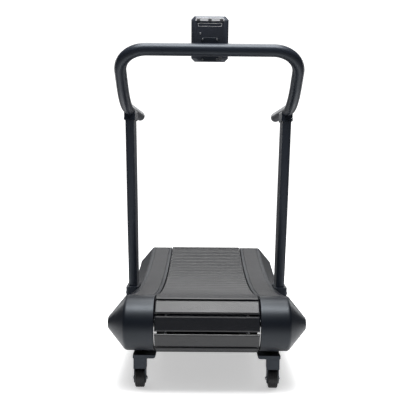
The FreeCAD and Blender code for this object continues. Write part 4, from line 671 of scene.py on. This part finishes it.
def notchSkirt(skirt, side, look):
    # cuts the skirt round the upright's socket, with a small gap all round; at each level the
    # cut's middle is the foot's middle less the height above the foot times the upright's lean
    uprightLow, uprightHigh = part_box("upright_right")
    lean = (uprightHigh[1] - uprightLow[1] - look["uprightDepth"]) / (uprightHigh[2] - uprightLow[2])
    footY = uprightHigh[1] - look["uprightDepth"] / 2
    halfDepth = look["socketDepth"] / 2 + look["gap"]
    inside = look["inside"]
    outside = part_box("upright_sockets")[1][0] + look["gap"]
    points = []
    for level in (look["leanFrom"], look["top"]):
        middleY = footY - (level - uprightLow[2]) * lean
        for x, y in ((inside, -halfDepth), (outside, -halfDepth), (outside, halfDepth),
                     (inside, halfDepth)):
            points.append((x * side, middleY + y, max(level, look["bottom"])))
    faces = [[0, 1, 2, 3], [4, 5, 6, 7], [0, 1, 5, 4], [1, 2, 6, 5], [2, 3, 7, 6], [3, 0, 4, 7]]
    cutter = makePiece("notch_cutter", np.array(points), faces, smooth=False)
    cut = skirt.modifiers.new("notch", "BOOLEAN")
    cut.object = cutter
    cut.operation = "DIFFERENCE"
    cut.solver = "EXACT"
    bpy.context.view_layer.update()
    shaped = bpy.data.meshes.new_from_object(skirt.evaluated_get(bpy.context.evaluated_depsgraph_get()))
    skirt.modifiers.remove(cut)
    skirt.data = shaped
    bpy.data.objects.remove(cutter)


buildCovers(coverLook)
print("covers made")


gripLook = dict(gap=0.0004, proud=0.0015, endRound=0.030, endSpace=0.014, ribPitch=0.0045,
                ribHeight=0.0009, edge=0.0012, seamAt=0.36)


def buildGrip(side, sideName, look):
    # rubber strip with fine cross ribs; near its ends the width is the full width times
    # sqrt(1 - (1 - share) squared), where share = distance to the end / endRound
    inner = coverLook["gripInner"] + look["gap"]
    outer = coverLook["gripOuter"] - look["gap"]
    middle = (inner + outer) / 2
    half = (outer - inner) / 2
    low = coverRadius - coverLook["gripDepth"]
    high = low + coverLook["gripDepth"] + look["proud"]
    reach = halfAngle * middleRadius - look["endSpace"]
    count = int(reach * 2 / (look["ribPitch"] / 2))
    along = np.linspace(-reach, reach, count)
    toEnd = np.clip((reach - np.abs(along)) / look["endRound"], 0, 1)
    narrow = np.sqrt(np.clip(1 - (1 - toEnd) ** 2, 0.0004, 1))
    rib = (np.arange(count) % 2) * look["ribHeight"]
    seam = np.abs(np.abs(along) - reach * look["seamAt"]) < look["ribPitch"] * 0.6
    rib = np.where(seam, -look["ribHeight"] * 1.5, rib)
    edge = look["edge"]
    ringX = np.array([-half, -half, -half + edge, -half + edge * 4, 0, half - edge * 4, half - edge,
                      half, half])
    ringZ = np.array([low, high - edge, high, high, high, high, high, high - edge, low])
    ribbed = np.array([0, 0, 0, 1, 1, 1, 0, 0, 0])
    across = (middle + ringX[None, :] * narrow[:, None]) * side
    height = ringZ[None, :] + ribbed[None, :] * (rib[:, None] - look["ribHeight"])
    radius = middleRadius - height
    turn = (along / (middleRadius - coverRadius))[:, None]
    grid = np.stack([across, radius * np.sin(turn), arcCentreZ - radius * np.cos(turn)], axis=-1)
    rows, columns = grid.shape[:2]
    faces = gridFaces(rows, columns) + ringCaps(rows, columns)
    piece = makePiece("grip_%s" % sideName, grid.reshape(-1, 3), faces, smooth=False)
    finishPiece(piece, "grip_strip_" + sideName, "grip_rubber")


buildGrip(-1, "left", gripLook)
buildGrip(1, "right", gripLook)
print("grip strips made")


barLook = dict(radius=0.0254, wall=0.0025, around=64, bendY=-0.470, bendRadius=0.380, rise=40.0,
               corner=0.115, arcSteps=40, lineSteps=12)


def barCentreLine(look):
    # level run, rising arc, straight climb and corner arc, then the same mirrored; on the rising
    # arc y = bendY - bendRadius sin(turn) and z = level + bendRadius (1 - cos(turn))
    low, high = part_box("handlebar")
    side = high[0] - look["radius"]
    level = low[2] + look["radius"]
    front = low[1] + look["radius"]
    rise = math.radians(look["rise"])
    climb = np.array([0, -math.cos(rise), math.sin(rise)])
    across = np.array([1.0, 0, 0])
    turn = np.linspace(0, rise, look["arcSteps"])
    bend = np.stack([np.full_like(turn, side), look["bendY"] - look["bendRadius"] * np.sin(turn),
                     level + look["bendRadius"] * (1 - np.cos(turn))], axis=-1)
    apex = bend[-1] + climb * (bend[-1][1] - front) / math.cos(rise)
    start = np.array([side, high[1], level])
    levelRun = start + (bend[0] - start) * np.linspace(0, 1, look["lineSteps"])[:-1, None]
    cornerStart = apex - climb * look["corner"]
    straight = bend[-1] + (cornerStart - bend[-1]) * np.linspace(0, 1, 5)[1:-1, None]
    centre = cornerStart - across * look["corner"]
    quarter = np.linspace(0, math.pi / 2, look["arcSteps"])[:, None]
    corner = centre + (across * np.cos(quarter) + climb * np.sin(quarter)) * look["corner"]
    halfLine = np.concatenate([levelRun, bend, straight, corner])
    other = halfLine[::-1] * np.array([-1, 1, 1])
    return np.concatenate([halfLine, other])


def tubeGrid(line, radius, around):
    # rings square to a line: point = line + radius * (side cos(angle) + up sin(angle)); side comes
    # from one fixed direction, which keeps the tube from twisting
    tangents = np.gradient(line, axis=0)
    tangents /= np.linalg.norm(tangents, axis=1)[:, None]
    side = np.cross(tangents, np.array([0.0, 0.31, 1.0]))
    side /= np.linalg.norm(side, axis=1)[:, None]
    up = np.cross(side, tangents)
    angle = np.linspace(0, 2 * math.pi, around, endpoint=False)
    circle = (side[:, None, :] * np.cos(angle)[None, :, None]
              + up[:, None, :] * np.sin(angle)[None, :, None])
    return line[:, None, :] + circle * radius


def buildBar(look):
    # an outer and an inner tube round one centre line, joined by a flat ring at each end
    line = barCentreLine(look)
    outside = tubeGrid(line, look["radius"], look["around"])
    inside = tubeGrid(line, look["radius"] - look["wall"], look["around"])
    rows, columns = outside.shape[:2]
    count = rows * columns
    faces = gridFaces(rows, columns)
    faces += [face[::-1] for face in gridFaces(rows, columns, first=count)]
    for row in (0, rows - 1):
        ring = row * columns + np.arange(columns)
        following = row * columns + (np.arange(columns) + 1) % columns
        faces += np.stack([ring, following, following + count, ring + count], axis=-1).tolist()
    points = np.concatenate([outside.reshape(-1, 3), inside.reshape(-1, 3)])
    piece = makePiece("bent_bar", points, faces, sharpAngle=50)
    finishPiece(piece, "handlebar", "frame_paint")


buildBar(barLook)
print("handlebar made")


uprightLook = dict(width=0.043, depth=0.125, corner=0.015, wall=0.003, around=9)


def buildUpright(side, sideName, look):
    # a rounded rectangle carried up a leaning line, outside and inside, cut level at both ends
    name = "upright_" + sideName
    low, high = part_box(name)
    half = np.array([look["width"], look["depth"]]) / 2
    corners = half * np.array([(-1, -1), (1, -1), (1, 1), (-1, 1)])
    outer = roundCorners(corners, [look["corner"]] * 4, look["around"])
    inner = roundCorners(corners - np.sign(corners) * look["wall"],
                         [look["corner"] - look["wall"]] * 4, look["around"])
    middle = (low[0] + high[0]) / 2
    foot = np.array([middle, high[1] - half[1], low[2]])
    top = np.array([middle, low[1] + half[1], high[2]])
    rows = []
    for outline, end in ((outer, foot), (outer, top), (inner, top), (inner, foot), (outer, foot)):
        ring = np.zeros((len(outline), 3))
        ring[:, :2] = outline
        rows.append(ring + end)
    points = np.concatenate(rows)
    piece = makePiece("leaning_" + name, points, gridFaces(5, len(outer)), sharpAngle=35)
    finishPiece(piece, name, "frame_paint")


buildUpright(-1, "left", uprightLook)
buildUpright(1, "right", uprightLook)
print("uprights made")


def lathe(profile, centre, around, axis):
    # a closed outline of (along the axis, distance from it) turned once about the axis:
    # the two other measures are centre + distance * cos(turn) and centre + distance * sin(turn)
    turn = np.linspace(0, 2 * math.pi, around + 1)[:, None]
    others = [index for index in range(3) if index != axis]
    grid = np.zeros((around + 1, len(profile), 3))
    grid[:, :, axis] = centre[axis] + profile[None, :, 0]
    grid[:, :, others[0]] = centre[others[0]] + profile[None, :, 1] * np.cos(turn)
    grid[:, :, others[1]] = centre[others[1]] + profile[None, :, 1] * np.sin(turn)
    return grid.reshape(-1, 3), gridFaces(around + 1, len(profile))


wheelLook = dict(shoulder=0.006, hub=0.0144, rim=0.0248, dish=0.0045, bore=0.00605, around=80,
                 grooves=3, grooveDeep=0.0010, grooveWide=0.0016)


def wheelProfile(radius, half, look):
    # half-section of the wheel: hub face, dished web, rim and a grooved round-shouldered tyre
    points = [(-half, look["bore"]), (-half, look["hub"]),
              (look["dish"] - half, look["hub"] + look["dish"] * 0.6),
              (look["dish"] - half, look["rim"] - look["dish"] * 0.6), (-half, look["rim"])]
    radii = [0.0004, 0.001, 0.0015, 0.0015, 0.001]
    mirrored = [(-along, away) for along, away in points[::-1]]
    tread = []
    treadRadii = []
    reach = half - look["shoulder"] * 1.4
    for place in np.linspace(-reach, reach, look["grooves"]):
        wide = look["grooveWide"] / 2
        for along, away in ((place - wide, radius), (place - wide * 0.6, radius - look["grooveDeep"]),
                            (place + wide * 0.6, radius - look["grooveDeep"]), (place + wide, radius)):
            tread.append((along, away))
            treadRadii.append(0)
    outline = points + [(-half, radius)] + tread + [(half, radius)] + mirrored
    corners = radii + [look["shoulder"]] + treadRadii + [look["shoulder"]] + radii[::-1]
    return roundCorners(outline, corners, 5)


def axleProfile(half, look):
    # bolt through the fork with a flanged acorn nut at one end and a cone at the other
    shank = look["shank"]
    flange = look["flange"]
    return np.array([
        (-half - look["cone"], 0), (-half - look["cone"], shank * 0.25),
        (-half - look["flangeThick"], shank), (-half - look["flangeThick"], flange),
        (-half, flange), (-half, shank), (half, shank), (half, flange),
        (half + look["washer"], flange), (half + look["washer"], shank * 1.25),
        (half + look["nutTall"], shank * 1.2), (half + look["domeTall"], shank * 0.7),
        (half + look["nutEnd"], 0),
    ])


axleLook = dict(shank=0.006, flange=0.0098, cone=0.007, flangeThick=0.003, washer=0.002,
                nutTall=0.0045, domeTall=0.0062, nutEnd=0.007, around=36)


def buildWheels(look):
    # each wheel is its half-section turned about its axle; both bolts are one piece
    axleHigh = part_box("wheel_axles")[1]
    axles = []
    for side, sideName in ((-1, "left"), (1, "right")):
        name = "wheel_" + sideName
        low, high = np.array(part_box(name))
        centre = (low + high) / 2
        half = (high[0] - low[0]) / 2
        profile = wheelProfile((high[2] - low[2]) / 2, half, look)
        points, faces = lathe(profile, centre, look["around"], 0)
        piece = makePiece("tyred_" + name, points, faces, sharpAngle=50)
        finishPiece(piece, name, "wheel_rubber")
        reach = axleHigh[0] - abs(centre[0]) - axleLook["cone"]
        profile = axleProfile(reach, axleLook) * np.array([side * -1, 1])
        axles.append(lathe(profile, centre, axleLook["around"], 0))
    piece = makePiece("wheel_bolts", *joinParts(axles), sharpAngle=35)
    finishPiece(piece, "wheel_axles", "bright_steel")


buildWheels(wheelLook)

footLook = dict(stud=0.006, threadDeep=0.0006, threadPitch=0.0016, padTop=0.0196, padEdge=0.0084,
                padThick=0.014, around=48, nutRadius=0.011, nutEdge=0.0012, nutChamfer=0.9,
                nutGap=0.0004)


def buildFeet(look):
    # rubber pad with a rounded rim, and a stud whose radius steps in and out at each thread
    for sideName in ("left", "right"):
        name = "levelling_foot_" + sideName
        low, high = np.array(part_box(name))
        centre = (low + high) / 2
        centre[2] = 0
        rim = (high[0] - low[0]) / 2
        pad = roundCorners([(0, 0), (0, rim), (look["padEdge"], rim), (look["padThick"], look["padTop"]),
                            (look["padThick"], look["stud"])], [0, 0.003, 0.003, 0.002, 0], 5)
        count = int((high[2] - look["padThick"]) / (look["threadPitch"] / 2))
        along = np.linspace(look["padThick"] + 0.0005, high[2], count)
        away = look["stud"] - (np.arange(count) % 2) * look["threadDeep"]
        thread = np.stack([along, away], axis=-1)
        profile = np.concatenate([pad, thread, [(high[2], 0)]])
        points, faces = lathe(profile, centre, look["around"], 2)
        piece = makePiece("threaded_" + name, points, faces, sharpAngle=50)
        finishPiece(piece, name, "wheel_rubber")
    nutLow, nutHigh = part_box("foot_lock_nuts")
    nuts = []
    for sideName in ("left", "right"):
        low, high = np.array(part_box("levelling_foot_" + sideName))
        centre = (low + high) / 2
        turn = np.arange(6) * math.pi / 3
        ring = np.stack([np.cos(turn), np.sin(turn)], axis=-1)
        outer = ring * look["nutRadius"]
        inner = ring * (look["stud"] + look["nutGap"])
        cut = outer * look["nutChamfer"]
        edge = look["nutEdge"]
        rows = []
        for outline, level in ((inner, nutLow[2]), (cut, nutLow[2]), (outer, nutLow[2] + edge),
                               (outer, nutHigh[2] - edge), (cut, nutHigh[2]),
                               (inner, nutHigh[2]), (inner, nutLow[2])):
            rows.append(np.column_stack([outline + centre[:2], np.full(6, level)]))
        nuts.append((np.concatenate(rows), gridFaces(7, 6)))
    piece = makePiece("hexagon_lock_nuts", *joinParts(nuts), smooth=False)
    finishPiece(piece, "foot_lock_nuts", "bright_steel")


buildFeet(footLook)
print("wheels and feet made")


consoleLook = dict(
    halfWidth=0.075, halfTall=0.090, corner=0.014, depth=0.022, straight=0.006, sideSlope=0.017,
    endSlope=0.007, wall=0.0025, lensUp=0.038, lensMiddle=0.007,
    stripHalf=0.059, stripTall=0.012, stripThick=0.0015, tabHalf=0.007, tabTall=0.008,
    tabStep=0.046, badgeHalf=0.050, badgeLow=0.0515, badgeTall=0.013, badgeLine=0.0011,
)
pressAxis = np.array(joints["start_button_press"]["axis"])
consoleAxes = np.array([(1, 0, 0), -pressAxis, (0, pressAxis[2], -pressAxis[1])])
lensBox = np.array(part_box("display_lens"))
consoleOrigin = (lensBox.mean(axis=0) - consoleAxes[1] * consoleLook["lensMiddle"]
                 - consoleAxes[2] * consoleLook["lensUp"])


def onConsole(points):
    # from the console's own axes (across, to the runner, up) to the machine's:
    # origin + across * first axis + depth * second axis + up * third axis
    return consoleOrigin + np.asarray(points) @ consoleAxes


def octagon(halfWidth, halfTall, corner, depth):
    # a rectangle with its corners cut off, at one depth
    wide = [corner - halfWidth, halfWidth - corner, halfWidth, halfWidth,
            halfWidth - corner, corner - halfWidth, -halfWidth, -halfWidth]
    tall = [-halfTall, -halfTall, corner - halfTall, halfTall - corner,
            halfTall, halfTall, halfTall - corner, corner - halfTall]
    return np.stack([wide, np.full(8, depth), tall], axis=-1)


def buildConsoleBack(look):
    # octagons stacked from the open front to a smaller flat back, outside and inside
    width = look["halfWidth"]
    tall = look["halfTall"]
    side = look["sideSlope"]
    end = look["endSlope"]
    wall = look["wall"]
    depth = look["depth"]
    corner = look["corner"]
    rings = [
        octagon(width - side - wall, tall - end - wall, corner - 0.003, wall - depth),
        octagon(width - wall, tall - wall, corner - 0.001, -look["straight"]),
        octagon(width - wall, tall - wall, corner - 0.001, -0.0002),
        octagon(width - 0.0006, tall - 0.0006, corner, -0.0002),
        octagon(width, tall, corner, -0.0008),
        octagon(width, tall, corner, -look["straight"] + 0.0005),
        octagon(width - 0.0005, tall - 0.0004, corner, -look["straight"] - 0.0005),
        octagon(width - side + 0.001, tall - end + 0.0007, corner - 0.002, 0.0016 - depth),
        octagon(width - side - 0.0012, tall - end - 0.001, corner - 0.003, 0.0002 - depth),
        octagon(width - side - 0.0025, tall - end - 0.0025, corner - 0.0035, -depth),
    ]
    points = onConsole(np.concatenate(rings))
    faces = gridFaces(len(rings), 8) + ringCaps(len(rings), 8)
    piece = makePiece("moulded_back_shell", points, faces, sharpAngle=30)
    finishPiece(piece, "console_housing", "console_plastic")


def addConsolePiece(name, parts, materialName, node=None):
    # joins parts given in the console's axes into one piece on the frame
    points, faces = joinParts(parts)
    piece = makePiece(name, onConsole(points), faces, sharpAngle=30)
    piece.data.materials.append(materials[materialName])
    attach(piece, "frame")
    if node:
        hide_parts(node)
    return piece


def framePrism(outer, inner, low, high):
    # a flat ring: an outline, the same outline made smaller, and the walls between two depths
    rows = []
    for outline, depth in ((outer, low), (outer, high), (inner, high), (inner, low), (outer, low)):
        rows.append(np.column_stack([outline[:, 0], np.full(len(outline), depth), outline[:, 1]]))
    return np.concatenate(rows), gridFaces(5, len(outer))


def buildConsoleTrim(look):
    # pale strip and three tabs at the top of the back, and below them a thin pale ring round the badge
    # recess, a painted highlight on the recess's edge
    back = -look["depth"]
    high = look["halfTall"] - look["endSlope"] + 0.002
    low = high - look["stripTall"]
    half = look["stripHalf"]
    thick = look["stripThick"]
    outline = roundCorners([(-half, low), (half, low), (half - 0.004, high), (0.004 - half, high)],
                           [0.003, 0.003, 0.005, 0.005], 5)
    strip = prism(outline, 1, back - thick, back + 0.004)
    addConsolePiece("pale_top_strip", [strip], "trim_plastic", "console_top_trim")
    tabs = []
    for column in (-1, 0, 1):
        middle = look["tabStep"] * column
        tabOutline = roundCorners([(middle - look["tabHalf"], low - 0.001),
                                   (middle + look["tabHalf"], low - 0.001),
                                   (middle + look["tabHalf"], low + look["tabTall"]),
                                   (middle - look["tabHalf"], low + look["tabTall"])],
                                  [0.0015] * 4, 4)
        tabs.append(prism(tabOutline, 1, back - thick * 1.8, back - thick * 0.2))
    addConsolePiece("strip_tabs", tabs, "tabPlastic")
    badgeLow = look["badgeLow"]
    badgeHigh = badgeLow + look["badgeTall"]
    wide = look["badgeHalf"]
    taper = look["badgeTall"] * 0.35
    corners = np.array([(taper - wide, badgeLow), (wide - taper, badgeLow), (wide, badgeHigh),
                        (-wide, badgeHigh)])
    centre = corners.mean(axis=0)
    # painted highlight: the ring's pale plastic stands in for light caught by the recess's edge
    line = look["badgeLine"]
    inner = corners + np.sign(centre - corners) * np.array([line * 1.4, line])
    radii = [0.003] * 4
    ring = framePrism(roundCorners(corners, radii, 5), roundCorners(inner, radii, 5),
                      back - 0.0005, back + 0.0002)
    addConsolePiece("badge_outline", [ring], "trim_plastic")


displayLook = dict(halfWidth=0.052, halfTall=0.0295, low=0.003, high=0.0046, digitTall=0.030,
                   digitWide=0.0155, barThick=0.0034, spacing=0.0225, gap=0.0006, digits=4,
                   colonGap=0.002, dotHalf=0.0017)


def segmentBar(x, z, length, thick, upright, low, high):
    # one display bar: a hexagon longer than it is wide, with pointed ends
    half = length / 2
    slim = thick / 2
    outline = np.array([(-half, 0), (slim - half, -slim), (half - slim, -slim), (half, 0),
                        (half - slim, slim), (slim - half, slim)])
    if upright:
        outline = outline[:, ::-1]
    return prism(outline + np.array([x, z]), 1, low, high)


def buildDisplay(look):
    # a panel behind the lens with seven bars for each digit and two dots between them
    up = consoleLook["lensUp"]
    corners = np.array([(-1, -1), (1, -1), (1, 1), (-1, 1)])
    outline = roundCorners(corners * np.array([look["halfWidth"], look["halfTall"]]) + (0, up),
                           [0.002] * 4, 4)
    panel = prism(outline, 1, look["low"], look["high"])
    addConsolePiece("display_panel", [panel], "displayPanel")
    marks = []
    bottom = look["high"] - 0.0001
    top = look["high"] + 0.0002
    wide = look["digitWide"]
    tall = look["digitTall"]
    middle = (look["digits"] - 1) / 2
    for digit in range(look["digits"]):
        x = (digit - middle) * look["spacing"] + np.sign(digit - middle) * look["colonGap"]
        for level in (-1, 0, 1):
            marks.append(segmentBar(x, up + level * tall / 2, wide - look["gap"] * 2,
                                    look["barThick"], False, bottom, top))
        for column in (-1, 1):
            for level in (-1, 1):
                marks.append(segmentBar(x + column * wide / 2, up + level * tall / 4,
                                        tall / 2 - look["gap"] * 2, look["barThick"], True,
                                        bottom, top))
    for level in (-1, 1):
        dot = roundCorners(corners * look["dotHalf"] + (0, up + level * tall / 5), [0.0008] * 4, 4)
        marks.append(prism(dot, 1, bottom, top))
    addConsolePiece("display_digits", marks, "displayMarks")


screwLook = dict(radius=0.0040, tall=0.0020, recess=0.0014, plate=0.004, across=0.029, high=0.001,
                 low=-0.077, shellAcross=-0.038, shellUp=0.024, shank=0.0019, around=24)


def screwHead(x, z, base, look):
    # pan head: a domed disc with a round driver recess, turned about the console's depth
    recess = look["recess"]
    radius = look["radius"]
    tall = look["tall"]
    profile = np.array([(0.003, 0), (0.003, look["shank"]), (0, look["shank"]), (0, radius),
                        (-tall * 0.45, radius), (-tall * 0.85, radius * 0.8), (-tall, radius * 0.45),
                        (-tall, recess), (-tall * 0.35, recess * 0.8), (-tall * 0.35, 0)])
    return lathe(profile, np.array([x, base, z]), look["around"], 1)


def buildScrews(look):
    # two rows of bracket screws, and one screw in the shell itself
    plateFace = -consoleLook["depth"] - look["plate"]
    heads = [screwHead(x, z, plateFace, look) for x in (-look["across"], look["across"])
             for z in (look["high"], look["low"])]
    addConsolePiece("bracket_screws", heads, "darkSteel", "console_screws")
    lone = screwHead(look["shellAcross"], look["shellUp"], -consoleLook["depth"], look)
    addConsolePiece("shell_screw", [lone], "bright_steel")


buildConsoleBack(consoleLook)
buildConsoleTrim(consoleLook)
buildScrews(screwLook)
frame["nodes"]["console_grommet"].data.materials[0] = materials["tabPlastic"]
buildDisplay(displayLook)
print("console made")


viewLook = dict(place=(-0.020, -3.585, 0.986), pitch=4.24, yaw=0.40, roll=0.55, lens=58.4)


def addCamera(look):
    # aims level, then turns left or right, tips down and rolls by small angles:
    # rotation = turn about z by -yaw * tilt about x by 90 - pitch * roll about z
    camera = bpy.data.cameras.new("camera")
    camera.lens = look["lens"]
    camera.sensor_width = 36.0
    holder = bpy.data.objects.new("camera", camera)
    bpy.context.scene.collection.objects.link(holder)
    holder.location = look["place"]
    turn = Matrix.Rotation(math.radians(-look["yaw"]), 3, "Z")
    tilt = Matrix.Rotation(math.radians(90 - look["pitch"]), 3, "X")
    roll = Matrix.Rotation(math.radians(look["roll"]), 3, "Z")
    holder.rotation_euler = (turn @ tilt @ roll).to_euler()
    bpy.context.scene.camera = holder


def addArea(name, place, target, size, power):
    # a soft rectangular light aimed at a point
    light = bpy.data.lights.new(name, "AREA")
    light.shape = "RECTANGLE"
    light.size, light.size_y = size
    light.energy = power
    holder = bpy.data.objects.new(name, light)
    bpy.context.scene.collection.objects.link(holder)
    holder.location = place
    aim = Vector(target) - Vector(place)
    holder.rotation_euler = aim.to_track_quat("-Z", "Y").to_euler()


def smoothRange(tree, value, start, end, low=0.0, high=1.0):
    # low + (high - low) * (3 t squared - 2 t cubed), t being the share of the way from start to end
    node = addNode(tree, "ShaderNodeMapRange", {"interpolation_type": "SMOOTHSTEP"}, Value=value)
    for name, number in (("From Min", start), ("From Max", end), ("To Min", low), ("To Max", high)):
        node.inputs[name].default_value = number
    return node.outputs["Result"]


# painted light: the floor glows, to the camera from its near to its far seen value, and as light on the
# machine from its near to its far light value; its far colour is painted shade, seen only by light rays
floorLook = dict(seenNear=0.50, seenFar=1.0, lightNear=0.30, lightFar=0.05, glowFrom=0.9, glowFull=2.4,
                 farTone=(0.22, 0.22, 0.23, 1), reach=14.0)


def addFloor(look):
    # a wide pale floor, faintly uneven, that glows as painted light: brighter to the camera further out,
    # where it fades into the backdrop, and lifting the machine's shadow near by
    reach = look["reach"]
    points = np.array([(-reach, -reach, 0), (reach, -reach, 0), (reach, reach, 0), (-reach, reach, 0)])
    floor = makePiece("floor", points, [[0, 1, 2, 3]], smooth=False)
    material = bpy.data.materials.new("floor")
    material.use_nodes = True
    tree = material.node_tree
    shader = tree.nodes["Principled BSDF"]
    place = addNode(tree, "ShaderNodeTexCoord").outputs["Object"]
    cloud = addNode(tree, "ShaderNodeTexNoise", Vector=place, Scale=3.0, Detail=3.0)
    pale = mixColor(tree, cloud.outputs["Fac"], (0.86, 0.86, 0.86, 1), (0.84, 0.84, 0.845, 1))
    length = addNode(tree, "ShaderNodeVectorMath", {"operation": "LENGTH"}, _0=place)
    distance = length.outputs["Value"]
    glow = (look["glowFrom"], look["glowFull"])
    # painted light: the glow the camera sees, from its near value under the machine, where it lifts the
    # cast shadow, up to its far value far out
    seen = smoothRange(tree, distance, *glow, look["seenNear"], look["seenFar"])
    unseen = smoothRange(tree, distance, *glow, look["lightNear"], look["lightFar"])
    away = smoothRange(tree, distance, *glow)
    path = addNode(tree, "ShaderNodeLightPath")
    # painted shade: light rays see the far floor darken to its far colour, while the camera sees it pale
    inLight = mixColor(tree, away, pale, look["farTone"])
    tone = mixColor(tree, path.outputs["Is Camera Ray"], inLight, pale)
    tree.links.new(tone, shader.inputs["Base Color"])
    extra = doMath(tree, "SUBTRACT", seen, unseen)
    shown = doMath(tree, "MULTIPLY", extra, path.outputs["Is Camera Ray"])
    tree.links.new(doMath(tree, "ADD", shown, unseen), shader.inputs["Emission Strength"])
    shader.inputs["Emission Color"].default_value = (1, 1, 1, 1)
    shader.inputs["Roughness"].default_value = 0.9
    shader.inputs["Specular IOR Level"].default_value = 0.1
    floor.data.materials.append(material)


worldLook = dict(backdrop=1.3, level=0.018, above=0.5, levelUpTo=0.35, aboveFrom=0.95,
                 behind=0.14, behindFrom=0.25, behindFull=0.9)


def addWorld(look):
    # white backdrop to the camera; as light it is dark at eye level, bright above and behind
    world = bpy.data.worlds.new("studio")
    bpy.context.scene.world = world
    world.use_nodes = True
    tree = world.node_tree
    background = tree.nodes["Background"]
    background.inputs["Color"].default_value = (1, 1, 1, 1)
    direction = addNode(tree, "ShaderNodeTexCoord").outputs["Generated"]
    split = addNode(tree, "ShaderNodeSeparateXYZ", Vector=direction)
    height = smoothRange(tree, split.outputs["Z"], look["levelUpTo"], look["aboveFrom"], look["level"],
                         look["above"])
    behind = smoothRange(tree, split.outputs["Y"], look["behindFrom"], look["behindFull"], 0.0,
                         look["behind"])
    both = doMath(tree, "ADD", height, behind)
    path = addNode(tree, "ShaderNodeLightPath")
    seen = addNode(tree, "ShaderNodeMapRange", Value=path.outputs["Is Camera Ray"])
    tree.links.new(both, seen.inputs["To Min"])
    seen.inputs["To Max"].default_value = look["backdrop"]
    tree.links.new(seen.outputs["Result"], background.inputs["Strength"])


lights = dict(
    overhead=dict(place=(0, 0.3, 4.2), target=(0, 0, 0.4), size=(2.4, 3.6), power=150),
    frontTop=dict(place=(0, -1.65, 3.3), target=(0, -0.85, 0.4), size=(3.0, 1.0), power=125),
    behind=dict(place=(0, 4.2, 2.0), target=(0, 0.2, 0.4), size=(3.0, 0.9), power=14),
    leftRim=dict(place=(-3.0, 2.6, 1.5), target=(0, 0, 0.6), size=(0.8, 2.2), power=22),
    rightRim=dict(place=(3.0, 2.6, 1.5), target=(0, 0, 0.6), size=(0.8, 2.2), power=22),
)
addCamera(viewLook)
addFloor(floorLook)
addWorld(worldLook)
for lightName, lightLook in lights.items():
    addArea(lightName, **lightLook)
bpy.context.scene.view_settings.view_transform = "Standard"
print("camera, light and floor set")
